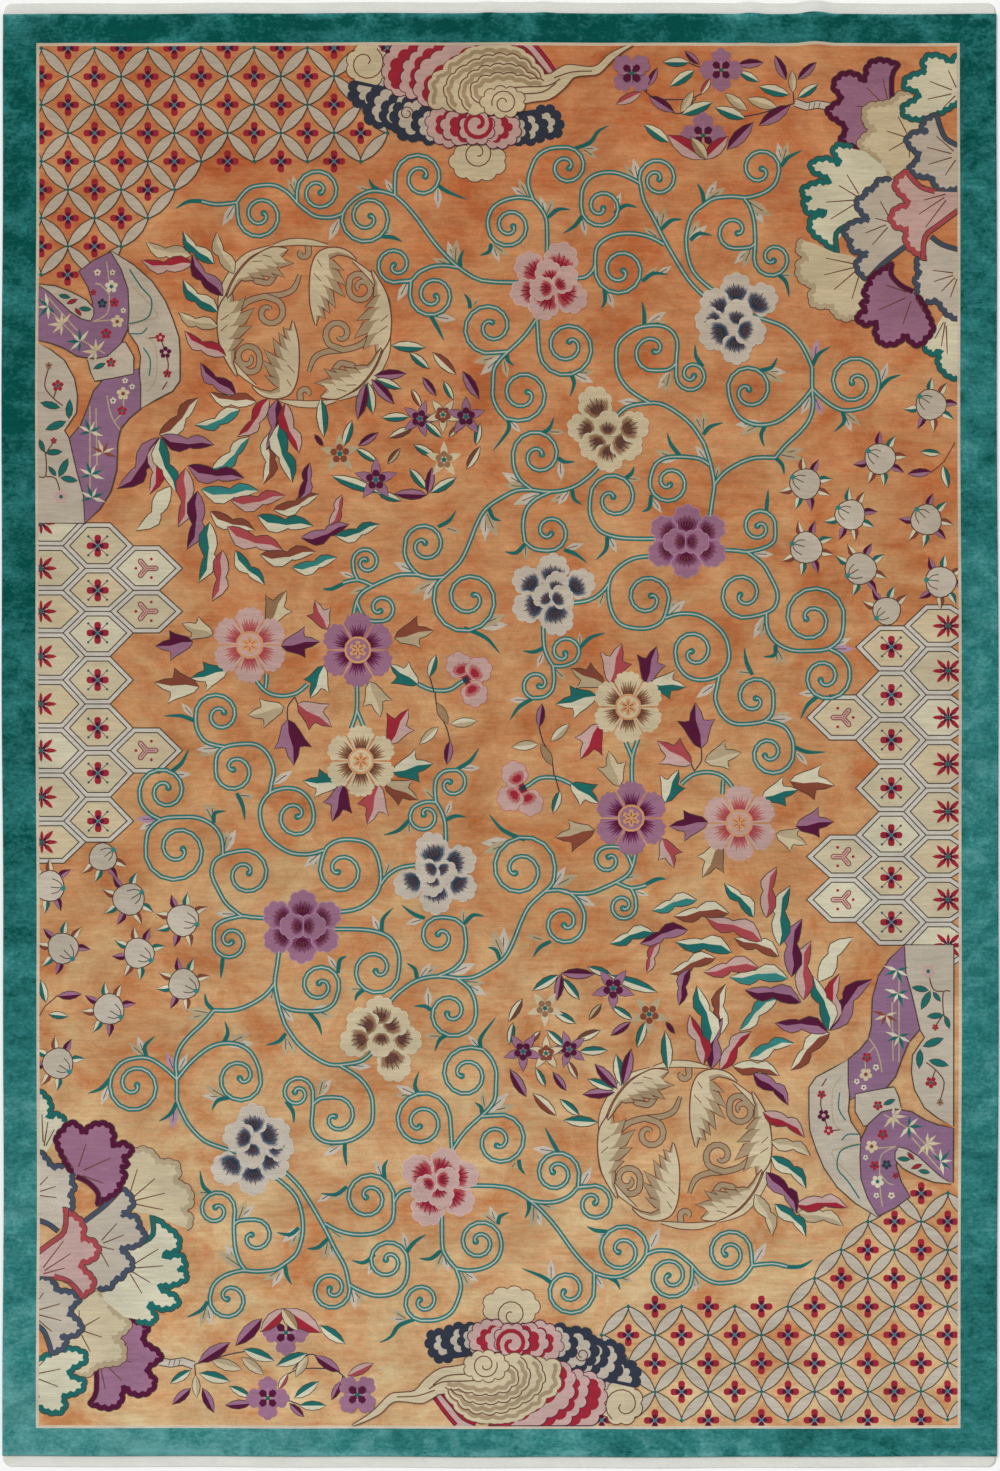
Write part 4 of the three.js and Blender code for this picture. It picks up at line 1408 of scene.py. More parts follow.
PLUMES = [
    Leaf((19.1, 25.6), (14.7, 24.3), "pale_straw", "straw"),
    Leaf((21.4, 26.4), (18.4, 23.3), "teal", "pale_ivory"),
    Leaf((19.3, 26.4), (14.3, 26.1), "rose", "crimson"), Leaf((22.3, 29.6), (19.3, 25.6), "plum", "lilac"),
    Leaf((23.4, 27.4), (21.7, 23.4), "straw", "pale_straw"),
    Leaf((21.8, 31.2), (18.4, 28.1), "teal", "pale_ivory"),
    Leaf((21.8, 32.7), (18.0, 31.3), "straw", "pale_straw"),
    Leaf((22.6, 35.6), (18.6, 33.2), "rose", "crimson"), Leaf((23.6, 39.5), (20.2, 36.4), "lilac", "plum"),
    Leaf((25.6, 40.2), (21.1, 39.3), "pale_ivory", "brick"),
    Leaf((24.0, 41.0), (19.7, 42.5), "sea", "pale_ivory"),
    Leaf((26.9, 39.9), (23.9, 43.6), "rose", "crimson"),
    Leaf((26.9, 43.4), (26.4, 48.3), "brick", "pale_ivory"),
    Leaf((27.8, 40.0), (26.7, 44.9), "plum", "lilac"), Leaf((28.0, 42.3), (29.2, 48.1), "teal", "pale_ivory"),
    Leaf((28.6, 40.4), (29.9, 45.2), "rose", "crimson"),
    Leaf((16.0, 43.5), (19.8, 39.9), "brick", "pale_ivory"),
    Leaf((16.2, 43.6), (21.3, 44.5), "lilac", "plum"), Leaf((15.9, 43.8), (11.9, 48.8), "plum", "lilac"),
    Leaf((15.6, 44.4), (15.1, 49.3), "crimson", "rose"),
    Leaf((16.1, 43.8), (17.6, 49.1), "teal", "pale_ivory"),
    Leaf((21.3, 46.9), (24.9, 43.8), "pale_ivory", "sea"),
    Leaf((17.1, 48.7), (13.8, 53.0), "pale_ivory", "pale_ivory"),
    Leaf((18.9, 46.6), (24.3, 47.8), "plum", "lilac"), Leaf((18.6, 46.9), (17.9, 52.6), "rose", "coral"),
    Leaf((20.2, 49.0), (25.8, 49.1), "sea", "pale_ivory"), Leaf((19.8, 49.2), (18.8, 54.8), "lilac", "plum"),
    Leaf((21.1, 51.2), (25.4, 53.0), "brick", "pale_ivory"),
    Leaf((23.2, 50.1), (28.4, 49.6), "coral", "rose"),
    Leaf((27.4, 51.0), (31.8, 49.5), "brick", "pale_ivory"),
    Leaf((30.0, 49.9), (31.0, 46.4), "plum", "lilac"), Leaf((25.8, 51.6), (31.2, 52.6), "teal", "pale_ivory"),
    Leaf((30.2, 53.8), (34.8, 52.5), "lilac", "plum"), Leaf((33.0, 52.5), (34.2, 49.6), "rose", "coral"),
    Leaf((33.6, 53.6), (37.8, 52.5), "teal", "pale_ivory"),
    Leaf((21.0, 52.3), (20.0, 58.1), "pale_ivory", "teal"), Leaf((22.8, 52.7), (28.2, 55.0), "coral", "rose"),
    Leaf((23.6, 55.1), (26.4, 58.4), "teal", "pale_ivory"), Leaf((22.3, 55.1), (21.3, 60.0), "rose", "coral"),
    Leaf((26.1, 55.5), (31.4, 55.2), "brick", "pale_ivory"),
    Leaf((29.3, 56.8), (33.6, 55.8), "sea", "pale_ivory"),
]


def plume_leaf(family, leaf):
    """A long leaf with two swellings along it, bent like a stretched S."""
    bow = 0.07 if leaf.tip[0] > leaf.base[0] else -0.07
    above = [(0.0, 0.0), (0.08, -0.08), (0.2, -0.15), (0.34, -0.165), (0.45, -0.12), (0.51, -0.085),
             (0.57, -0.12), (0.68, -0.14), (0.84, -0.09), (1.02, 0.0)]
    vein = [(0.0, 0.0), (0.2, 0.0), (0.42, -0.02), (0.54, 0.015), (0.8, 0.0), (1.02, 0.0)]
    below = [(0.0, 0.0), (0.1, 0.06), (0.24, 0.13), (0.4, 0.14), (0.52, 0.1), (0.58, 0.075),
             (0.65, 0.11), (0.76, 0.11), (0.9, 0.06), (1.02, 0.0)]

    def bowed(line):
        return [(c, r + bow * math.sin(math.pi * c) + 0.05 * math.sin(2 * math.pi * c)) for c, r in line]

    split_leaf(family, leaf, bowed(above), bowed(below), bowed(vein))


# The ring of small five-petalled stars
STARS = [
    {"at": (42.0, 41.9), "radius": 1.9, "turn": -72, "yarns": ("lilac", "plum"), "lined": True},
    {"at": (44.3, 41.5), "radius": 1.8, "turn": -54, "yarns": ("pale_straw", "brick"), "lined": True},
    {"at": (46.6, 41.7), "radius": 2.0, "turn": -18, "yarns": ("lilac", "plum"), "lined": True},
    {"at": (44.4, 46.0), "radius": 1.9, "turn": -18, "yarns": ("pale_straw", "umber_shade"), "lined": False},
    {"at": (37.6, 48.0), "radius": 2.2, "turn": -18, "yarns": ("lilac", "plum"), "lined": True},
    {"at": (34.0, 45.4), "radius": 2.1, "turn": -20, "yarns": ("straw", "brick"), "lined": False},
]
RING_LEAVES = [
    Leaf((39.2, 34.6), (42.5, 34.8), "pale_ivory", "teal"),
    Leaf((41.0, 35.3), (42.9, 36.9), "pale_ivory", "teal"),
    Leaf((43.3, 35.3), (45.6, 37.5), "brick", "pale_ivory"),
    Leaf((42.3, 37.8), (43.6, 39.6), "plum", "lilac"), Leaf((46.3, 37.2), (47.9, 39.9), "plum", "lilac"),
    Leaf((44.4, 38.2), (45.3, 40.0), "pale_ivory", "teal"),
    Leaf((41.2, 39.0), (42.1, 40.7), "pale_ivory", "brick"),
    Leaf((37.5, 37.6), (40.6, 37.4), "plum", "lilac"), Leaf((37.6, 37.9), (40.1, 38.9), "pale_ivory", "teal"),
    Leaf((37.2, 38.0), (39.4, 40.4), "plum", "lilac"), Leaf((36.8, 38.3), (37.3, 41.4), "pale_ivory", "teal"),
    Leaf((36.6, 38.4), (35.8, 41.9), "plum", "lilac"), Leaf((40.9, 41.7), (38.2, 41.8), "teal", "pale_ivory"),
    Leaf((42.5, 42.2), (44.2, 43.8), "pale_ivory", "teal"),
    Leaf((41.4, 44.5), (43.6, 45.7), "pale_ivory", "teal"),
    Leaf((33.2, 47.6), (38.0, 49.3), "pale_ivory", "teal"),
    Leaf((37.8, 49.3), (40.1, 50.1), "pale_ivory", "teal"),
    Leaf((41.0, 46.9), (42.7, 49.0), "pale_ivory", "teal"),
    Leaf((43.1, 49.3), (45.6, 47.8), "pale_ivory", "teal"),
    Leaf((41.3, 42.8), (38.9, 43.8), "umber", "pale_ivory"),
    Leaf((44.9, 43.7), (46.0, 42.5), "brick", "pale_ivory"),
    Leaf((46.7, 46.9), (48.0, 44.7), "umber", "pale_ivory"),
    Leaf((38.8, 46.4), (40.0, 44.9), "umber", "straw"), Leaf((35.9, 44.6), (37.8, 43.3), "plum", "lilac"),
    Leaf((42.8, 49.4), (43.2, 46.8), "plum", "lilac"), Leaf((42.7, 49.5), (39.5, 49.4), "plum", "lilac"),
    Leaf((47.6, 44.5), (48.0, 42.4), "teal", "pale_ivory"),
    Leaf((34.4, 44.6), (35.2, 42.1), "pale_ivory", "teal"),
    Leaf((35.7, 44.9), (37.7, 46.2), "pale_ivory", "teal"), Leaf((32.3, 44.6), (31.5, 43.5), "plum", "plum"),
    Leaf((32.1, 39.9), (32.4, 43.7), "teal", "pale_ivory"),
]


def star_flower(family, row):
    """Five pointed petals with round hearts and a sea-green eye."""
    petal = both_sides([(0.08, -0.08), (0.4, -0.2), (0.62, -0.17), (1.0, 0.0)])
    light, heart = row["yarns"]
    at, radius, turn = row["at"], row["radius"], row["turn"]
    petals = [placed(petal, at, turn + 72 * k, radius) for k in range(5)]
    if row["lined"]:
        for shape in petals:
            lay(family, "ink", grown(shape, 0.06))
    for shape in petals:
        lay(family, light, shape)
    for k in range(5):
        middle = placed([(0.3 * radius, 0.0)], at, turn + 72 * k)[0]
        lay(family, heart, circle(middle, 0.17 * radius, 8))
    lay(family, "teal", circle(at, 0.13 * radius, 6))


def ring():
    family = "ring"
    for leaf in RING_LEAVES:
        lens_leaf(family, leaf, wide=min(0.15, 0.52 / math.dist(leaf.base, leaf.tip)), line=0.1)
    for row in STARS:
        star_flower(family, row)


# Flowering sprays at the head end

SPRAY_LEAVES = [
    Leaf((64.8, 8.7), (65.7, 6.9), "plum", "lilac"), Leaf((64.1, 9.3), (61.6, 10.5), "rose", "coral"),
    Leaf((64.9, 9.7), (67.4, 11.3), "plum", "lilac"), Leaf((68.9, 6.3), (66.3, 6.3), "teal", "pale_ivory"),
    Leaf((66.9, 14.3), (64.4, 12.5), "teal", "pale_ivory"), Leaf((69.9, 6.5), (68.5, 5.2), "plum", "lilac"),
    Leaf((69.4, 7.1), (67.0, 8.7), "teal", "pale_ivory"), Leaf((73.8, 6.5), (76.3, 6.3), "plum", "lilac"),
    Leaf((73.9, 7.2), (75.9, 8.2), "pale_ivory", "teal"),
    Leaf((71.0, 8.0), (70.1, 9.5), "pale_ivory", "coral"),
    Leaf((68.1, 11.3), (69.3, 9.2), "straw", "pale_straw"),
    Leaf((68.2, 11.5), (71.2, 10.3), "pale_ivory", "teal"),
    Leaf((74.7, 11.1), (72.5, 9.4), "straw", "pale_straw"),
    Leaf((74.5, 11.9), (71.5, 10.8), "teal", "pale_ivory"),
    Leaf((77.7, 10.8), (74.7, 9.9), "straw", "pale_straw"), Leaf((79.0, 10.6), (75.9, 12.6), "lilac", "plum"),
    Leaf((78.6, 8.0), (77.5, 5.6), "lilac", "plum"), Leaf((79.8, 8.0), (81.6, 6.4), "plum", "lilac"),
    Leaf((79.3, 9.3), (79.2, 7.1), "straw", "pale_straw"),
    Leaf((78.9, 9.5), (75.9, 8.7), "teal", "pale_ivory"),
    Leaf((79.8, 9.8), (81.8, 8.5), "pale_ivory", "teal"), Leaf((72.7, 15.0), (75.3, 12.3), "plum", "lilac"),
]
SPRAY_STEMS = [
    [(63.2, 7.5), (64.3, 9.0), (65.1, 9.7)], [(64.6, 9.3), (64.7, 8.7)],
    [(67.0, 11.2), (68.1, 11.4), (69.6, 9.9)], [(65.6, 10.0), (68.7, 10.0), (70.2, 9.4)],
    [(68.9, 6.4), (70.5, 7.0)], [(73.0, 6.9), (73.9, 6.7)],
    [(74.4, 11.7), (76.0, 11.4), (78.0, 10.8), (79.4, 10.4)], [(79.3, 9.2), (79.4, 10.4)],
]
SPRAY_FLOWERS = [
    {"at": (63.15, 7.4), "radius": 1.9, "turn": 45, "petals": 4},
    {"at": (72.1, 7.05), "radius": 1.9, "turn": 0, "petals": 4},
    {"at": (70.3, 13.6), "radius": 2.0, "turn": 180, "petals": 3},
]


def spray_flower(family, row):
    """Frilled pale petals behind a plum quatrefoil with a sea-green eye."""
    at, radius, turn = row["at"], row["radius"], row["turn"]
    heart = both_sides([(0.08, 0.0), (0.3, -0.2), (0.52, -0.14), (0.56, 0.0)])
    for k in range(row["petals"]):
        middle = placed([(0.6 * radius, 0.0)], at, turn + 90 * k)[0]
        lay(family, "lilac", lobe(middle, 0.46 * radius, turn + 90 * k, 5, depth=0.22))
    for k in range(4):
        lay(family, "plum", placed(heart, at, 45 + 90 * k, radius))
    for k in range(4):
        strip(family, "pale_lilac", placed([(0.1, 0.0), (0.5, 0.0)], at, 90 * k, radius), 0.06)
    lay(family, "teal", circle(at, 0.12 * radius, 6))


def sprays():
    family = "sprays"
    for stem in SPRAY_STEMS:
        strip(family, "ink", smooth(stem, steps=3), 0.12)
    branch = [(79.5, 10.3), (80.6, 10.7), (81.8, 10.5), (82.9, 10.7)]
    strip(family, "line", branch, 0.86)
    strip(family, "pale_ash", branch, 0.66)
    for c in (81.0, 81.5, 82.0):
        strip(family, "line", [(c, 10.3), (c - 0.15, 10.9)], 0.07)
    for leaf in SPRAY_LEAVES:
        lens_leaf(family, leaf)
    for row in SPRAY_FLOWERS:
        spray_flower(family, row)
    for first, second, tip in (("rose", "crimson", (66.8, 13.6)), ("crimson", "rose", (72.8, 13.7))):
        lens_leaf(family, Leaf((70.4, 16.0), tip, first, second), wide=0.2)
    lens_leaf(family, Leaf((70.7, 16.0), (69.1, 13.8), "bronze", "pale_straw"), wide=0.2)


# Fruits with a leafy collar on the right side

FRUITS = [
    {"at": (93.1, 40.5), "radius": 1.45, "navel": 216}, {"at": (88.0, 45.9), "radius": 1.45, "navel": 213},
    {"at": (80.5, 48.4), "radius": 1.45, "navel": 208}, {"at": (85.0, 51.5), "radius": 1.42, "navel": 211},
    {"at": (92.6, 52.0), "radius": 1.45, "navel": 228}, {"at": (80.6, 54.8), "radius": 1.5, "navel": 197},
    {"at": (86.0, 56.9), "radius": 1.5, "navel": 152}, {"at": (94.0, 58.2), "radius": 1.45, "navel": 188},
    {"at": (88.6, 61.1), "radius": 1.3, "navel": 145, "leaves": 4},
]
FRUIT_LEAVES = [
    Leaf((94.0, 45.4), (92.1, 45.2), "pale_ivory", "teal"), Leaf((93.1, 47.2), (90.8, 47.4), "lilac", "plum"),
    Leaf((94.3, 46.6), (94.8, 48.8), "teal", "pale_ivory"),
]


# The ribs of a fruit: the turn from its middle line in degrees, then how far its start and its middle
# bend sideways and how far it runs, in fruit radii
FRUIT_RIBS = [(-32, 0.0, -0.1, 0.9), (-3, 0.0, 0.0, 0.85), (33, 0.08, 0.15, 1.0)]


def flame_leaf(family, leaf):
    """A short leaf, broad near its foot, with a bent tip."""
    above = [(0.0, -0.1), (0.2, -0.27), (0.42, -0.27), (0.72, -0.13), (1.05, 0.06)]
    below = [(0.0, 0.12), (0.22, 0.25), (0.45, 0.22), (0.75, 0.13), (1.05, 0.06)]
    split_leaf(family, leaf, above, below, [(0.0, 0.0), (0.5, -0.02), (1.05, 0.06)], line=0.04)


def fruits():
    family = "fruits"
    pairs = [("teal", "pale_ivory"), ("plum", "lilac"), ("brick", "pale_ivory")]
    for k, row in enumerate(FRUITS):
        at, radius, navel = row["at"], row["radius"], row["navel"]
        for j in range(row.get("leaves", 7)):
            angle = navel + 51 + 43 * j
            base, tip = placed([(radius - 0.05, 0.0), (radius + 1.25, 0.2 - 0.4 * (j % 2))], at, angle)
            flame_leaf(family, Leaf(base, tip, *pairs[(2 * j + k) % 3]))
        body = [
            placed([(radius * (1.03 + 0.04 * math.cos(3 * a + k)), 0.0)], at, math.degrees(a))[0]
            for a in np.linspace(0, 2 * math.pi, 16, endpoint=False)
        ]
        outlined(family, "pale_ash" if k % 2 else "ash", body)
        eye = placed([(0.98 * radius, 0.0)], at, navel)[0]
        for turn, first, bend, far in FRUIT_RIBS:
            rib = placed([(0.16, first), (0.5, bend), (far, 0.0)], eye, navel + 180 + turn, radius)
            strip(family, "line", smooth(rib, steps=3), 0.09)
        lay(family, "sea", circle(eye, 0.27, 7))
    strip(family, "umber", [(95.5, 44.3), (94.4, 46.2), (93.1, 47.3)], 0.12)
    for leaf in FRUIT_LEAVES:
        lens_leaf(family, leaf)


def plumes():
    for leaf in PLUMES:
        plume_leaf("plumes", leaf)


# Fan leaves in the head end's right corner. One entry for each leaf: its rim as a run of points
# with rounded teeth, the pivot that its veins run to, the points that close its body, the bare stripes
# down its sides, and the yarns of rim and fill.

Fan = namedtuple("Fan", "rim pivot body sides yarns")
FANS = [
    Fan(
        [(89.9, 6.5), (88.8, 6.1), (87.7, 6.0), (86.8, 6.5), (86.6, 7.6), (86.2, 8.2), (85.5, 7.5),
         (84.4, 7.4), (83.6, 7.9), (83.3, 8.7), (84.0, 9.5), (83.9, 10.2), (82.7, 11.1), (83.1, 11.7),
         (84.4, 12.6), (84.4, 13.7), (84.0, 14.1), (85.1, 14.7), (85.8, 14.6)],
        (89.0, 11.1), [(88.0, 13.5), (89.2, 11.5), (89.2, 7.8)], [[(89.9, 6.5), (89.2, 7.8), (89.3, 11.2)]],
        ("plum", "lilac"),
    ),
    Fan(
        [(91.1, 9.3), (90.1, 9.3), (89.4, 10.0), (88.3, 10.4), (86.8, 10.6), (86.4, 11.3), (86.6, 12.4),
         (87.5, 12.8), (86.8, 13.4), (85.9, 14.3), (86.2, 15.0), (86.8, 15.2), (87.7, 16.0), (87.9, 16.7),
         (88.6, 17.4), (89.4, 18.1), (90.1, 17.4), (91.5, 16.5), (92.0, 14.5)],
        (91.0, 13.9), [(93.0, 13.0), (92.8, 11.0)], [], ("straw", "pale_straw"),
    ),
    Fan(
        [(95.8, 5.4), (95.1, 6.2), (94.0, 5.6), (92.7, 5.6), (92.3, 6.3), (92.5, 7.2), (91.4, 7.5),
         (90.5, 8.0), (90.4, 8.7), (91.2, 8.9), (91.9, 9.5), (91.4, 10.2), (90.3, 10.8), (90.3, 11.5),
         (91.2, 11.9), (92.2, 11.9), (94.0, 11.3), (95.8, 10.3)],
        (95.9, 9.3), [(96.2, 10.2), (96.2, 5.4)], [], ("teal", "pale_ivory"),
    ),
    Fan(
        [(93.7, 11.5), (92.7, 11.9), (92.2, 12.6), (92.7, 13.2), (91.4, 13.3), (90.6, 14.0), (91.3, 15.0),
         (91.9, 15.4), (91.4, 16.5), (90.9, 16.9), (91.6, 17.6), (93.1, 17.8), (93.5, 18.7), (94.4, 19.2),
         (95.8, 18.9)],
        (95.9, 15.6), [(96.2, 18.9), (96.2, 14.7), (94.6, 13.9), (94.0, 12.6)],
        [[(93.7, 11.5), (94.0, 12.6), (94.6, 13.9), (95.8, 14.6)]], ("slate", "ash"),
    ),
    Fan(
        [(85.1, 14.7), (83.6, 14.5), (83.4, 15.2), (83.9, 15.8), (83.8, 16.5), (82.7, 15.9), (81.2, 16.2),
         (81.1, 16.9), (82.1, 17.4), (82.8, 17.8), (82.7, 18.4), (81.8, 18.3), (80.3, 18.9), (80.2, 19.5),
         (81.0, 20.0), (80.3, 20.2), (80.7, 21.3), (82.1, 21.0), (82.4, 21.7), (81.2, 21.9), (80.9, 22.8),
         (81.4, 23.6), (82.1, 24.1), (83.1, 24.9), (83.8, 25.3)],
        (86.2, 20.0), [(83.8, 24.0), (84.9, 22.7), (87.0, 22.0), (89.0, 19.0), (88.5, 16.8), (86.5, 15.2)],
        [[(83.7, 25.3), (83.6, 23.4), (84.9, 22.5), (86.2, 22.2)]], ("teal", "pale_ivory"),
    ),
    Fan(
        [(89.0, 18.0), (87.9, 18.0), (87.3, 18.9), (86.5, 19.1), (86.6, 19.5), (85.6, 20.1), (85.8, 20.8),
         (86.2, 21.3), (86.8, 22.1), (85.1, 22.4), (84.3, 23.4), (85.0, 24.1), (85.1, 25.1), (86.8, 25.5),
         (86.0, 26.1), (85.6, 26.8), (86.2, 27.7), (86.8, 28.0)],
        (89.2, 22.3), [(88.3, 26.4), (90.5, 24.7), (92.0, 23.5), (92.0, 19.0), (90.5, 17.6)],
        [[(86.8, 28.0), (88.3, 26.4), (90.5, 24.7)]], ("slate", "ash"),
    ),
    Fan(
        [(90.7, 17.2), (89.6, 18.0), (89.5, 18.9), (90.1, 19.5), (90.7, 20.2), (90.6, 20.8), (89.6, 21.0),
         (89.0, 21.9), (89.6, 22.8), (90.7, 23.0), (90.5, 23.9), (90.9, 24.9), (92.0, 25.6), (92.6, 26.0)],
        (95.2, 19.3), [(92.6, 23.8), (93.8, 22.6), (96.0, 21.0), (96.0, 19.3), (93.5, 19.2), (92.0, 18.7)],
        [[(90.8, 17.4), (92.0, 18.7), (93.5, 19.2)],
         [(95.8, 21.1), (93.8, 22.6), (92.5, 23.7), (92.3, 25.9)]],
        ("coral", "rose"),
    ),
    Fan(
        [(91.8, 25.7), (91.6, 26.6), (91.9, 27.5), (91.4, 28.0), (91.8, 28.8), (91.6, 29.4), (92.2, 30.3),
         (93.5, 30.1), (94.2, 30.9), (94.8, 31.6), (95.8, 32.0)],
        (95.9, 27.4), [(96.2, 32.0), (96.2, 25.1), (94.2, 24.6), (93.1, 23.9), (92.4, 24.6)],
        [[(93.1, 23.7), (94.2, 24.5), (95.8, 25.0)]], ("slate", "pale_ash"),
    ),
    Fan(
        [(80.1, 24.0), (79.7, 24.9), (80.3, 25.5), (80.7, 26.0), (79.9, 26.2), (79.7, 27.0), (79.9, 27.9),
         (80.7, 28.4), (81.4, 28.8), (81.0, 29.6), (81.2, 30.5), (82.1, 30.7), (83.1, 30.7), (83.4, 31.4),
         (84.4, 32.0), (85.5, 31.7), (86.3, 31.0)],
        (86.2, 26.6), [(88.0, 29.0), (87.5, 27.0), (86.0, 26.0), (85.1, 25.6), (83.4, 25.3), (81.4, 24.4)],
        [], ("straw", "pale_straw"),
    ),
    Fan(
        [(89.2, 26.4), (87.7, 27.3), (86.9, 27.9), (87.0, 28.3), (86.3, 29.2), (86.8, 30.1), (86.1, 30.5),
         (86.6, 31.2), (85.6, 31.8), (86.4, 32.5), (87.3, 32.2), (87.7, 32.7), (87.5, 33.3), (88.0, 34.4),
         (89.2, 34.5), (89.9, 34.2), (90.5, 33.5), (91.2, 34.4), (92.0, 34.6), (92.5, 34.0), (93.2, 33.3),
         (93.1, 32.5), (92.6, 31.4), (92.2, 30.5), (91.7, 29.9)],
        (91.3, 29.5), [(91.3, 29.3), (90.1, 28.6), (89.1, 27.5)],
        [[(89.2, 26.4), (89.1, 27.5), (90.1, 28.6), (91.3, 29.2)]], ("plum", "lilac"),
    ),
    Fan(
        [(92.4, 34.8), (93.1, 35.5), (94.2, 35.1), (94.0, 35.9), (94.0, 36.8), (95.0, 37.8), (95.8, 37.9)],
        (94.6, 31.8), [(96.2, 37.9), (96.2, 31.9), (94.6, 31.2), (93.2, 33.3)], [], ("teal", "pale_ivory"),
    ),
]
FAN_ORDER = (0, 1, 2, 3, 4, 8, 5, 10, 7, 6, 9)
FAN_RIM = 0.5
FAN_TOOTH = 0.8


def length_of(path):
    return sum(math.dist(p, q) for p, q in zip(path, path[1:]))


def fan_leaf(family, row):
    rim_yarn, fill = row.yarns
    pivot = row.pivot
    path = smooth(row.rim, steps=2)
    inward = []
    for c, r in path:
        far = math.dist((c, r), pivot)
        inward.append((c + 0.2 * (pivot[0] - c) / far, r + 0.2 * (pivot[1] - r) / far))
    rim = scalloped(inward, round(length_of(path) / FAN_TOOTH), -0.2)
    edge = "umber" if fill == "pale_straw" else "line"
    strip(family, edge, rim, FAN_RIM + 0.18)
    lay(family, fill, rim + row.body)
    strip(family, rim_yarn, rim, FAN_RIM)
    for side in row.sides:
        strip(family, edge, smooth(side, steps=3), 0.56)
        strip(family, rim_yarn, smooth(side, steps=3), 0.4)
    for share in (0.12, 0.36, 0.62, 0.86):
        end = rim[int(share * (len(rim) - 1))]
        vein = [
            (pivot[0] + t * (end[0] - pivot[0]), pivot[1] + t * (end[1] - pivot[1]))
            for t in (0.14, 0.62)
        ]
        strip(family, "umber", vein, [0.13, 0.09])


def fans():
    for k in FAN_ORDER:
        fan_leaf("fan_leaves", FANS[k])


# Cloud bank at the head end

Band = namedtuple("Band", "yarn edge lined")

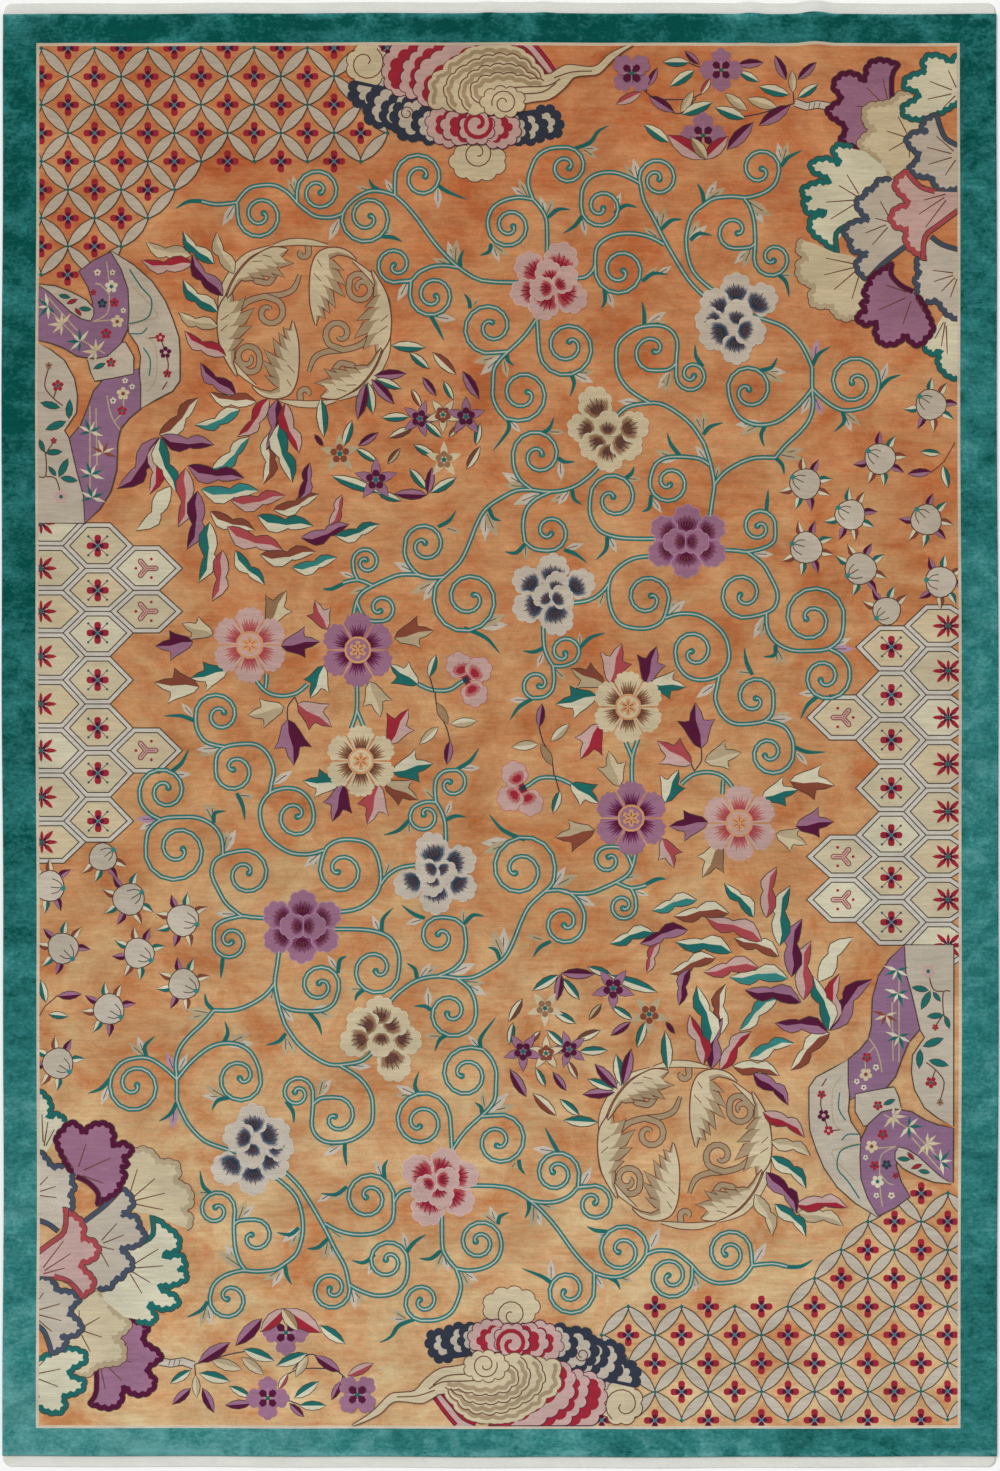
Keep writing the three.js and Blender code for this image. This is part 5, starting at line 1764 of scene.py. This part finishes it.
# Runs of overlapping bands. Each band reaches from its scalloped edge to the run's hidden end.
CloudRun = namedtuple("CloudRun", "hidden bands")
CLOUD_RUNS = [
    CloudRun([(44.5, 14.0), (44.5, 10.2)], [
        Band("ink", [(35.4, 8.2), (35.1, 9.1), (35.3, 10.2), (36.2, 10.7), (37.2, 11.0)], True),
        Band("ash", [(35.9, 8.6), (36.1, 9.3), (36.3, 9.9), (37.2, 10.4)], False),
        Band("ink", [(38.2, 8.8), (37.1, 9.3), (36.9, 10.4), (36.6, 11.5), (37.1, 12.4), (38.4, 12.7)], True),
        Band("ash", [(38.9, 9.1), (37.9, 9.8), (37.6, 10.8), (37.5, 11.7), (38.4, 12.2)], False),
        Band("ink", [(39.9, 9.5), (38.9, 10.2), (38.2, 11.3), (38.6, 12.4), (39.5, 12.9)], True),
        Band("ash", [(40.6, 9.7), (39.7, 10.4), (38.9, 11.4), (39.3, 12.4)], False),
        Band(
            "ink",
            [(41.2, 9.8), (40.4, 10.3), (39.5, 11.0), (39.3, 12.1), (39.7, 13.3), (40.6, 13.9), (41.9, 13.9)],
            True,
        ),
        Band(
            "ash", [(42.3, 10.4), (41.0, 10.5), (40.2, 11.3), (40.1, 12.3), (40.7, 13.0), (41.4, 13.5)],
            False,
        ),
        Band(
            "ink", [(43.0, 10.8), (41.9, 11.2), (41.4, 12.0), (41.6, 13.1), (42.3, 14.1), (43.4, 14.3)], True,
        ),
        Band("ash", [(43.2, 11.3), (42.3, 11.9), (42.1, 12.8), (42.7, 13.7), (43.5, 14.0)], False),
    ]),
    CloudRun([(50.5, 11.5), (50.5, 14.3)], [
        Band(
            "ink",
            [(52.6, 14.4), (53.6, 14.2), (54.7, 13.7), (55.6, 13.7), (56.1, 12.9), (55.9, 11.9), (55.4, 11.1),
             (54.6, 10.8), (53.6, 11.1)],
            True,
        ),
        Band("ash", [(53.8, 13.5), (54.7, 13.2), (55.2, 12.8), (55.1, 11.9), (54.3, 11.5)], False),
        Band("ink", [(53.2, 14.1), (54.3, 13.6), (54.7, 12.8), (54.2, 11.9), (53.4, 11.3)], False),
        Band("ash", [(52.8, 13.9), (53.5, 13.3), (53.5, 12.4), (52.8, 11.7)], False),
        Band("ink", [(51.5, 14.6), (52.5, 14.1), (52.9, 13.2), (52.8, 12.2), (52.0, 11.6)], False),
        Band("ash", [(51.3, 14.3), (52.1, 13.7), (52.3, 12.8), (51.8, 12.0), (51.0, 11.8)], False),
    ]),
    CloudRun([(48.5, 14.2), (48.5, 11.4)], [
        Band(
            "rose",
            [(45.0, 10.8), (43.8, 11.1), (42.9, 11.9), (42.9, 12.8), (43.3, 13.7), (44.3, 14.4),
             (45.4, 14.6)],
            True,
        ),
        Band("crimson", [(45.4, 11.2), (44.2, 11.7), (43.7, 12.6), (44.2, 13.5), (45.2, 14.1)], False),
        Band(
            "rose", [(46.7, 11.0), (45.2, 11.5), (44.4, 12.2), (44.4, 13.1), (45.0, 13.9), (46.2, 14.5)],
            True,
        ),
        Band("crimson", [(46.9, 11.3), (45.6, 11.9), (45.1, 12.8), (45.8, 13.8), (46.9, 14.2)], False),
    ]),
    CloudRun([(47.5, 12.0), (47.5, 14.2)], [
        Band(
            "rose",
            [(48.7, 14.5), (49.8, 14.7), (51.0, 14.4), (51.7, 13.6), (51.8, 12.7), (51.2, 11.9),
             (50.2, 11.6)],
            True,
        ),
        Band("crimson", [(49.2, 14.2), (50.2, 13.9), (50.9, 13.2), (50.9, 12.4), (50.0, 11.9)], False),
        Band("rose", [(48.9, 14.1), (49.9, 13.5), (50.1, 12.6), (49.4, 11.8)], False),
    ]),
    CloudRun([(46.0, 10.2), (50.0, 4.4)], [
        Band("rose", [(39.9, 4.4), (38.8, 5.7), (38.5, 6.9), (38.6, 8.1), (39.2, 9.1), (40.4, 9.6)], True),
        Band(
            "crimson", [(41.9, 4.4), (40.4, 5.3), (39.3, 6.5), (39.1, 7.6), (39.2, 8.5), (40.2, 8.9)], False,
        ),
        Band(
            "rose",
            [(42.5, 4.4), (41.4, 5.7), (40.6, 6.6), (40.4, 7.7), (40.2, 8.7), (40.9, 9.6), (41.6, 9.8)], True,
        ),
        Band(
            "crimson", [(44.5, 4.4), (42.7, 5.3), (41.7, 6.4), (41.3, 7.6), (41.1, 8.5), (41.8, 9.1)], False,
        ),
        Band(
            "rose",
            [(45.4, 4.4), (43.6, 5.6), (42.5, 6.4), (41.8, 7.4), (41.7, 8.6), (41.7, 9.6), (42.8, 10.7)],
            True,
        ),
        Band(
            "crimson",
            [(48.8, 4.4), (46.6, 5.2), (45.1, 6.2), (43.9, 7.0), (42.9, 8.0), (42.4, 9.2), (42.9, 10.4)],
            False,
        ),
    ]),
]
CLOUD_TOP = [
    (43.0, 10.7), (43.1, 9.4), (43.0, 8.4), (43.5, 7.6), (44.4, 7.2), (44.8, 6.4), (46.0, 5.8), (47.0, 5.1),
    (48.6, 4.8), (50.0, 4.8), (51.3, 4.9), (52.4, 5.4), (53.2, 6.1), (53.8, 6.9), (54.4, 7.6),
]
CLOUD_TAIL = [
    (55.1, 7.5), (56.0, 6.9), (56.9, 6.6), (59.0, 6.8), (59.9, 6.5), (60.8, 5.6), (62.1, 4.9), (63.7, 4.3),
    (62.3, 5.2), (61.2, 6.1), (59.9, 7.4), (58.8, 7.6), (57.4, 7.8), (56.4, 8.9), (54.9, 10.0), (53.0, 10.3),
    (48.0, 11.4),
]
CLOUD_FOOT = [(48.0, 11.4), (46.9, 11.3), (45.7, 11.1), (44.5, 10.8), (43.0, 10.7)]
CLOUD_FOLDS = [
    [(54.1, 7.9), (53.4, 7.1), (52.5, 6.2), (51.3, 5.7), (49.8, 5.6), (48.2, 5.9), (46.5, 6.7), (45.2, 7.6),
     (44.5, 8.8), (44.7, 10.0), (45.4, 11.1)],
    [(53.8, 8.1), (52.9, 7.5), (51.9, 6.8), (50.1, 6.6), (48.2, 6.9), (46.9, 7.6), (46.0, 8.8), (46.1, 10.0),
     (46.9, 11.2)],
    [(54.4, 8.2), (52.8, 8.0), (51.4, 7.6), (49.9, 7.5), (48.2, 7.9), (47.3, 8.6), (47.1, 9.5), (48.0, 10.4)],
]
CLOUD_LINES = [
    [(51.0, 8.9), (52.5, 8.8), (54.7, 8.7), (56.0, 8.0)], [(52.4, 9.5), (54.3, 9.3), (55.6, 8.4)],
    [(55.4, 7.9), (57.2, 7.3), (59.2, 7.2)],
]


def puff(family, at, wide, high, lobes, yarn, line):
    """A round cloud with scalloped edges."""
    shape = [(at[0] + wide * c, at[1] + high * r) for c, r in circle((0, 0), 1.0, 36)]
    edge = scalloped(shape + shape[:1], lobes, 0.3)[:-1]
    lay(family, line, grown(edge, 0.1))
    lay(family, yarn, edge)


def beside(path, step):
    """A path moved sideways by step, to its right as drawn on the cartoon."""
    return [tuple(p) for p in np.array(path) + directions(path) * step]


def curl(family, yarn, start, centre, hand, turns, width):
    strip(family, yarn, [start] + scroll_path(start, centre, centre, hand, turns), width)

# The rose tongue that falls between the clouds, and the two stripes along it
CLOUD_TONGUE = [(51.4, 4.2), (53.3, 4.2), (54.6, 5.7), (55.8, 7.1), (54.9, 7.8), (53.7, 6.6), (52.6, 5.2)]
CLOUD_TONGUE_STRIPES = [
    [(51.3, 4.5), (52.6, 5.1), (53.7, 6.4), (54.8, 7.7)],
    [(53.3, 4.4), (54.4, 5.7), (55.5, 7.2)],
]


def cloud_band(family, band, hidden):
    shape = scalloped(smooth(band.edge, steps=3), max(3, len(band.edge) - 1), -0.3) + hidden
    if band.lined:
        lay(family, "plum" if band.yarn == "rose" else "ink", grown(shape, 0.09))
    lay(family, band.yarn, shape)


def clouds():
    family = "clouds"
    puff(family, (47.8, 16.2), 2.6, 1.75, 9, "pale_straw", "umber")
    curl(family, "umber", (49.0, 14.9), (47.7, 15.4), 1, 1.3, 0.12)
    puff(family, (36.8, 6.6), 1.9, 1.9, 8, "pale_straw", "umber")
    curl(family, "umber", (37.7, 5.0), (36.6, 6.4), 1, 1.2, 0.12)
    for run in CLOUD_RUNS:
        for band in run.bands:
            cloud_band(family, band, run.hidden)
    curl(family, "umber", (41.3, 11.3), (40.7, 11.4), -1, 1.2, 0.12)
    puff(family, (47.7, 12.9), 1.55, 1.4, 8, "rose", "plum")
    curl(family, "crimson", (49.0, 11.9), (47.7, 12.5), 1, 1.3, 0.42)
    lay(family, "rose", CLOUD_TONGUE)
    for stripe in CLOUD_TONGUE_STRIPES:
        strip(family, "plum", smooth(stripe, steps=3), 0.44)
        strip(family, "crimson", smooth(stripe, steps=3), 0.3)
    body = scalloped(CLOUD_TOP, 12, 0.24) + smooth(CLOUD_TAIL, steps=3) + scalloped(CLOUD_FOOT, 4, 0.26)
    lay(family, "umber", grown(body, 0.1))
    lay(family, "pale_straw", body)
    for fold, count in zip([CLOUD_TOP[::-1]] + CLOUD_FOLDS, (11, 10, 9, 7)):
        strip(family, "pale_straw", beside(scalloped(fold, count, -0.2), -0.12), 0.3)
        strip(family, "straw_shade", beside(scalloped(fold, count, -0.2), -0.5), 0.4)
    for fold, count in zip(CLOUD_FOLDS, (10, 9, 7)):
        strip(family, "umber", scalloped(fold, count, -0.2), 0.12)
    for line in CLOUD_LINES:
        strip(family, "umber", smooth(line, steps=3), 0.12)
    puff(family, (50.3, 10.3), 2.0, 1.3, 9, "pale_straw", "umber")
    curl(family, "umber", (49.2, 10.7), (50.4, 10.4), 1, 1.5, 0.12)


# Roundel of jagged leaves and tendrils. It has half-turn symmetry about its own middle, so one
# half is listed.

ROUNDEL_MIDDLE = (30.45, 32.35)
TendrilLine = namedtuple("TendrilLine", "stem centre hand turns")
JaggedLeaf = namedtuple("JaggedLeaf", "spine widths teeth first side")
ROUNDEL_BANDS = [
    [(22.0, 31.6), (22.2, 29.6), (23.2, 27.4), (24.8, 25.6), (27.0, 24.7)],
    [(22.0, 32.6), (22.3, 34.6), (23.4, 36.6), (25.6, 38.6)],
    [(27.3, 24.6), (29.2, 24.25), (31.0, 24.3), (32.8, 24.6)],
]
ROUNDEL_TENDRILS = [
    TendrilLine(
        [(23.7, 31.2), (24.8, 30.2), (26.4, 29.7), (28.2, 29.5), (29.4, 28.9), (30.0, 27.5)], None, 1, 0,
    ),
    TendrilLine([(26.6, 29.7), (27.9, 30.2), (28.3, 31.0)], (27.0, 31.2), 1, 0.85),
    TendrilLine([(23.6, 36.0), (24.8, 37.2), (25.8, 36.9), (26.0, 35.9)], (24.8, 35.8), -1, 1.1),
    TendrilLine([(30.8, 24.4), (30.9, 25.3)], (30.3, 25.2), 1, 0.5),
    TendrilLine([(27.6, 27.3), (26.9, 28.3), (26.0, 28.2)], (25.9, 27.6), 1, 0.4),
]
ROUNDEL_LEAVES = [
    JaggedLeaf(
        [(23.7, 37.7), (22.5, 35.6), (22.1, 34.0), (22.0, 32.3), (22.2, 30.6), (23.2, 29.0)],
        (0.2, 1.2, 2.6, 3.6, 2.8, 0.6), 6, 0.16, 1,
    ),
    JaggedLeaf(
        [(22.7, 29.9), (23.6, 27.9), (25.2, 26.1), (27.2, 25.0), (28.8, 25.0)], (0.2, 0.9, 2.5, 3.2, 0.7), 6,
        0.3, 1,
    ),
    JaggedLeaf(
        [(35.7, 26.1), (34.7, 25.2), (33.3, 24.9), (32.0, 25.4), (31.4, 26.7), (31.2, 28.6), (31.2, 30.6),
         (31.6, 32.6)],
        (0.3, 0.8, 1.3, 2.4, 3.5, 3.4, 1.9, 0.1), 7, 0.3, -1,
    ),
]


def jagged(leaf, body, tooth, back):
    """The outline of a leaf along its spine: smooth on one side, with teeth on the other. body, tooth
    and back are how far they reach, in shares of the leaf's width."""
    run = np.array(smooth(leaf.spine, steps=8))
    across = directions(run) * leaf.side
    width = np.interp(np.linspace(0, 1, len(run)), np.linspace(0, 1, len(leaf.widths)), leaf.widths)
    outline = [tuple(p) for p in run - across * (width * back)[:, None]]
    edge = run + across * (width * body)[:, None]
    gone = np.concatenate([[0], np.cumsum(np.linalg.norm(np.diff(edge, axis=0), axis=1))])
    gone /= gone[-1]

    def at(share):
        return np.array([np.interp(share, gone, edge[:, k]) for k in (0, 1)])

    step = (1 - leaf.first) / leaf.teeth
    for k in reversed(range(leaf.teeth)):
        start = leaf.first + k * step
        if k < leaf.teeth - 1:
            ahead = at(start + step) - at(start)
            ahead /= max(np.linalg.norm(ahead), 1e-6)
            out = np.array([-ahead[1], ahead[0]]) * leaf.side
            reach = tooth * float(np.interp(start + 0.5 * step, gone, width))
            outline.append(tuple(at(start + 0.75 * step) + (out + 0.55 * ahead) * reach))
            outline.append(tuple(at(start + 0.3 * step) + out * 0.42 * reach))
        outline.append(tuple(at(start)))
    for share in (0.66, 0.33):
        outline.append(tuple(at(leaf.first * share)))
    return outline


def veins(leaf):
    """Two short lines from the smooth side of a jagged leaf towards its teeth."""
    run = smooth(leaf.spine, steps=8)
    across = directions(run) * leaf.side
    for share in (0.5, 0.64):
        k = int(share * (len(run) - 1))
        wide = float(np.interp(share, np.linspace(0, 1, len(leaf.widths)), leaf.widths))
        ahead = np.array(run[k + 3])
        yield [tuple(run[k] + across[k] * 0.1), tuple(ahead + across[k + 3] * wide * 0.26)]


def roundel_half(about):
    """One half of the roundel. about turns its points to where they belong."""
    family = "roundel"
    for row in ROUNDEL_TENDRILS:
        path = smooth(row.stem, steps=4)
        if row.centre:
            path = path + scroll_path(path[-1], row.centre, row.centre, row.hand, row.turns)
        widths = np.interp(np.linspace(0, 1, len(path)), [0, 0.8, 1], [0.52, 0.46, 0.22])
        strip(family, "umber", about(path), widths + 0.2)
        strip(family, "straw_shade", about(path), widths)
    for band in ROUNDEL_BANDS:
        path = smooth(band, steps=4)
        widths = np.interp(np.linspace(0, 1, len(path)), [0, 0.3, 0.7, 1], [0.1, 0.62, 0.56, 0.1])
        strip(family, "umber", about(path), widths + 0.2)
        strip(family, "pale_straw", about(path), widths)
    for leaf in ROUNDEL_LEAVES:
        outline = about(jagged(leaf, 0.5, 0.5, 0.06))
        lay(family, "umber", grown(outline, 0.12))
        lay(family, "straw_shade", outline)
        lay(family, "pale_straw", about(jagged(leaf, 0.27, 0.36, 0.05)))
        for vein in veins(leaf):
            strip(family, "umber", about(vein), 0.08)


def roundel():
    def opposite(points):
        return [(2 * ROUNDEL_MIDDLE[0] - c, 2 * ROUNDEL_MIDDLE[1] - r) for c, r in points]

    roundel_half(list)
    roundel_half(opposite)


# Folded sashes on the left side

Sash = namedtuple("Sash", "yarn edge")
SASHES = [
    Sash(
        "ash",
        [(3.7, 34.2), (5.2, 35.1), (6.5, 36.1), (7.5, 37.9), (7.8, 39.6), (7.7, 41.3), (6.9, 42.5),
         (6.5, 43.1), (7.0, 43.9), (7.7, 45.5), (8.4, 47.9), (8.6, 49.6), (8.6, 52.3), (3.7, 52.3)],
    ),
    Sash(
        "ash",
        [(11.2, 25.2), (13.4, 26.6), (15.2, 28.2), (16.5, 30.1), (17.3, 32.0), (17.9, 33.8), (18.0, 35.3),
         (18.0, 38.1), (17.3, 39.1), (15.6, 40.0), (14.1, 40.9), (14.1, 37.0), (14.2, 35.7), (13.9, 34.6),
         (13.0, 33.3), (12.9, 31.2), (12.8, 29.0), (12.1, 27.0)],
    ),
    Sash(
        "sash_violet",
        [(13.9, 36.9), (14.1, 38.6), (14.1, 40.9), (13.0, 41.8), (12.1, 42.9), (11.8, 44.2), (11.7, 47.0),
         (11.1, 49.2), (10.0, 50.9), (8.6, 52.3), (8.5, 49.6), (7.8, 47.0), (7.1, 43.9), (8.2, 42.6),
         (8.9, 40.9), (9.5, 39.2), (10.4, 38.1), (13.2, 37.3)],
    ),
    Sash(
        "ash",
        [(8.9, 36.0), (9.2, 37.2), (9.6, 38.1), (11.4, 37.8), (13.4, 37.4), (13.4, 35.7), (12.6, 34.3),
         (11.0, 34.6)],
    ),
    Sash(
        "sash_violet",
        [(11.1, 25.3), (12.1, 27.0), (12.8, 29.0), (12.9, 31.2), (12.8, 32.9), (12.1, 34.4), (10.8, 35.6),
         (9.5, 35.9), (7.8, 35.6), (6.5, 34.8), (5.2, 34.3), (3.7, 34.0), (3.7, 28.6), (5.0, 29.2),
         (6.5, 30.6), (8.0, 31.9), (9.2, 32.0), (9.4, 30.3), (8.9, 28.7), (8.0, 27.2), (9.5, 26.1)],
    ),
    Sash(
        "ash",
        [(3.9, 28.5), (5.6, 28.7), (7.2, 29.3), (8.7, 30.1), (9.4, 30.9), (9.4, 31.6), (9.1, 32.1),
         (8.3, 31.9), (7.2, 31.2), (6.0, 30.1), (5.0, 29.2)],
    ),
]
Bloom = namedtuple("Bloom", "at radius petals eye")
BLOOMS = [
    Bloom((11.2, 28.7), 0.66, "pale_ivory", "teal"), Bloom((10.3, 30.4), 0.5, "ink", "teal"),
    Bloom((11.5, 30.3), 0.5, "crimson", "ink"), Bloom((11.8, 32.2), 0.66, "pale_straw", "brick"),
    Bloom((10.7, 33.4), 0.55, "crimson", "teal"), Bloom((9.8, 27.3), 0.36, "pale_ivory", "crimson"),
    Bloom((11.3, 27.3), 0.3, "pale_ivory", "ink"), Bloom((9.4, 29.3), 0.34, "crimson", "ink"),
    Bloom((12.4, 31.1), 0.28, "pale_ivory", "ink"), Bloom((12.4, 39.4), 0.66, "pale_straw", "brick"),
    Bloom((12.3, 41.1), 0.5, "crimson", "teal"), Bloom((11.4, 40.1), 0.34, "pale_ivory", "ink"),
    Bloom((13.3, 38.7), 0.3, "pale_ivory", "ink"), Bloom((12.6, 38.1), 0.3, "pale_ivory", "ink"),
    Bloom((5.9, 38.6), 0.6, "crimson", "teal"), Bloom((5.0, 36.6), 0.36, "umber_shade", "ink"),
    Bloom((5.5, 44.1), 0.34, "crimson", "brick"), Bloom((6.2, 49.7), 0.7, "rose", "teal"),
    Bloom((11.2, 36.3), 0.5, "crimson", "teal"), Bloom((16.1, 33.8), 0.5, "crimson", "rose"),
    Bloom((16.6, 35.3), 0.62, "plum", "rose"), Bloom((16.8, 37.4), 0.45, "crimson", "ink"),
]
Twig = namedtuple("Twig", "yarn path")
TWIGS = [
    Twig("straw", [(10.7, 26.2), (10.9, 27.6), (11.0, 29.6), (10.8, 31.4), (9.4, 32.2)]),
    Twig("straw", [(9.4, 32.2), (10.4, 32.1), (11.8, 32.0)]),
    Twig("straw", [(11.0, 29.5), (10.2, 28.6), (9.6, 28.4)]),
    Twig("straw", [(10.8, 39.6), (11.0, 40.8), (11.4, 42.0), (12.1, 43.0)]),
    Twig("straw", [(12.4, 39.4), (12.4, 41.1), (11.5, 42.2)]),
    Twig("straw", [(4.2, 30.0), (7.4, 33.4), (10.6, 35.4)]), Twig("straw", [(4.9, 29.8), (7.8, 33.1)]),
    Twig("straw", [(9.1, 40.6), (9.1, 46.0), (9.1, 49.8)]), Twig("straw", [(9.7, 40.8), (9.8, 46.6)]),
    Twig("umber", [(5.0, 36.8), (4.6, 38.6), (5.4, 39.8), (6.4, 40.6)]),
    Twig("umber", [(5.9, 38.6), (5.5, 39.8)]),
    Twig("umber", [(4.3, 44.4), (4.7, 45.6), (4.7, 47.6), (4.0, 47.7)]),
    Twig("umber", [(4.7, 45.4), (5.5, 44.2)]), Twig("umber", [(4.7, 47.7), (5.7, 47.9), (6.2, 49.6)]),
    Twig("umber", [(14.8, 33.9), (16.0, 33.9), (16.6, 35.2)]),
    Twig("umber", [(16.6, 35.3), (16.9, 36.4), (16.8, 37.4)]), Twig("umber", [(16.8, 38.2), (16.3, 39.0)]),
    Twig("straw", [(13.4, 28.8), (15.0, 30.4), (15.8, 31.6), (15.0, 32.0), (12.9, 32.6)]),
    Twig("teal", [(13.0, 27.0), (14.2, 28.8), (15.2, 30.0), (15.0, 31.6), (14.0, 32.2), (13.0, 32.4)]),
    Twig("teal", [(13.1, 33.4), (14.2, 33.4), (14.8, 32.8)]),
    Twig("teal", [(14.4, 34.8), (15.1, 36.0), (15.0, 37.6)]),
    Twig("straw", [(14.6, 33.8), (15.6, 34.6), (15.7, 37.8), (14.8, 39.2)]),
]
Tuft = namedtuple("Tuft", "at facing yarns")
TUFTS = [
    Tuft((6.3, 32.5), 200, ("pale_straw", "pale_straw")),
    Tuft((4.9, 30.7), 150, ("teal", "pale_ivory")),
    Tuft((8.1, 34.2), 200, ("teal", "pale_ivory")),
    Tuft((9.7, 35.2), 200, ("pale_straw", "pale_straw")),
    Tuft((9.1, 43.2), 270, ("teal", "pale_ivory")),
    Tuft((9.2, 47.5), 270, ("teal", "pale_ivory")),
    Tuft((9.3, 49.8), 270, ("teal", "pale_ivory")),
    Tuft((10.4, 45.3), 270, ("pale_straw", "brick")),
]
SASH_LEAVES = [
    Leaf((6.1, 40.8), (4.2, 40.3), "teal", "teal"), Leaf((6.7, 42.2), (4.7, 43.0), "teal", "teal"),
    Leaf((7.0, 41.9), (7.1, 40.0), "teal", "teal"), Leaf((4.7, 45.3), (6.3, 45.2), "teal", "teal"),
    Leaf((4.5, 45.2), (4.1, 44.0), "teal", "teal"), Leaf((6.0, 47.7), (6.9, 45.9), "teal", "teal"),
    Leaf((6.2, 47.8), (7.8, 48.1), "teal", "teal"), Leaf((5.7, 47.6), (5.0, 46.7), "teal", "teal"),
    Leaf((10.6, 36.4), (9.5, 36.9), "teal", "teal"), Leaf((6.0, 29.6), (7.1, 29.8), "teal", "teal"),
    Leaf((8.0, 30.9), (9.2, 31.0), "teal", "teal"), Leaf((6.8, 30.4), (7.8, 30.0), "crimson", "crimson"),
    Leaf((7.6, 30.9), (8.2, 31.6), "crimson", "crimson"),
]


def bloom(family, row):
    for k in range(5):
        petal = placed([(0.62 * row.radius, 0.0)], row.at, 72 * k - 90)[0]
        lay(family, row.petals, circle(petal, 0.4 * row.radius, 6))
    lay(family, row.eye, circle(row.at, 0.3 * row.radius, 6))


def bamboo_tuft(family, at, facing, yarns):
    """Narrow leaves that fan out from a joint."""
    blade = both_sides([(0.0, 0.0), (0.4, -0.13), (1.0, 0.0)])
    for k, turn in enumerate((-105, -62, -20, 25, 68, 108)):
        lay(family, yarns[k % 2], placed(blade, at, facing + turn, 1.15 + 0.15 * (k % 3)))


def sashes():
    family = "sashes"
    for row in SASHES:
        outlined(family, row.yarn, row.edge, width=0.12)
    for twig in TWIGS:
        strip(family, twig.yarn, smooth(twig.path, steps=3), 0.13)
    for row in TUFTS:
        bamboo_tuft(family, row.at, row.facing, row.yarns)
    for leaf in SASH_LEAVES:
        lens_leaf(family, leaf, wide=0.16)
    for row in BLOOMS:
        bloom(family, row)


# Camera, light and floor


def studio():
    scene = bpy.context.scene
    scene.view_settings.view_transform = "Standard"
    world = bpy.data.worlds.new("studio")
    scene.world = world
    world.use_nodes = True
    background = world.node_tree.nodes["Background"]
    background.inputs["Color"].default_value = (1.0, 1.0, 1.0, 1.0)
    background.inputs["Strength"].default_value = 0.62
    lamp = bpy.data.lights.new("softbox", "SUN")
    lamp.energy = 1.45
    lamp.angle = math.radians(24)
    lamp_object = bpy.data.objects.new("softbox", lamp)
    lamp_object.rotation_euler = Vector((-0.55, 0.62, 1.0)).to_track_quat("Z", "Y").to_euler()
    scene.collection.objects.link(lamp_object)

    floor_size = 9.0
    mesh = bpy.data.meshes.new("floor")
    corners = [(-1, -1), (1, -1), (1, 1), (-1, 1)]
    mesh.from_pydata([(x * floor_size, y * floor_size, 0.0) for x, y in corners], [], [(0, 1, 2, 3)])
    floor = bpy.data.objects.new("floor", mesh)
    scene.collection.objects.link(floor)
    material, n = new_material("floor_paint")
    values = {"Base Color": srgb((250, 250, 250)), "Roughness": 0.8}
    paint = n.add("ShaderNodeBsdfPrincipled", values=values)
    n.add("ShaderNodeOutputMaterial", {"Surface": paint.outputs[0]})
    mesh.materials.append(material)


def camera():
    """Looks straight down, from far enough that the frame holds the photo's 147.1 squares."""
    height = 12.0
    frame_long = 147.1 * SQUARE
    sensor = 36.0
    data = bpy.data.cameras.new("camera")
    data.sensor_width = sensor
    data.lens = sensor * height / frame_long
    data.clip_end = 100.0
    made = bpy.data.objects.new("camera", data)
    made.location = (0.0, -0.05 * SQUARE, height)
    bpy.context.scene.collection.objects.link(made)
    bpy.context.scene.camera = made


def main():
    camera()
    studio()
    grain = pile_grain()
    yarns = {name: yarn_material(name, colour, grain) for name, colour in YARNS.items()}
    sheet = pile_sheet([field_material(grain), border_material(grain), yarns["guard"]])
    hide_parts("pile_carpet")
    cotton = web_material()
    for name, end, node in (("head_web", 1, "end_web_head"), ("foot_web", -1, "end_web_foot")):
        web = end_web(name, end, cotton)
        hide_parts(node)

    for draw in (coin_lattice, hexagon_lattice, fruits, sashes, roundel, plumes, ring, clouds, vines, flowers,
                 sprays, fans):
        draw()
    motifs = [weave(family, yarns) for family in FAMILIES]


main()
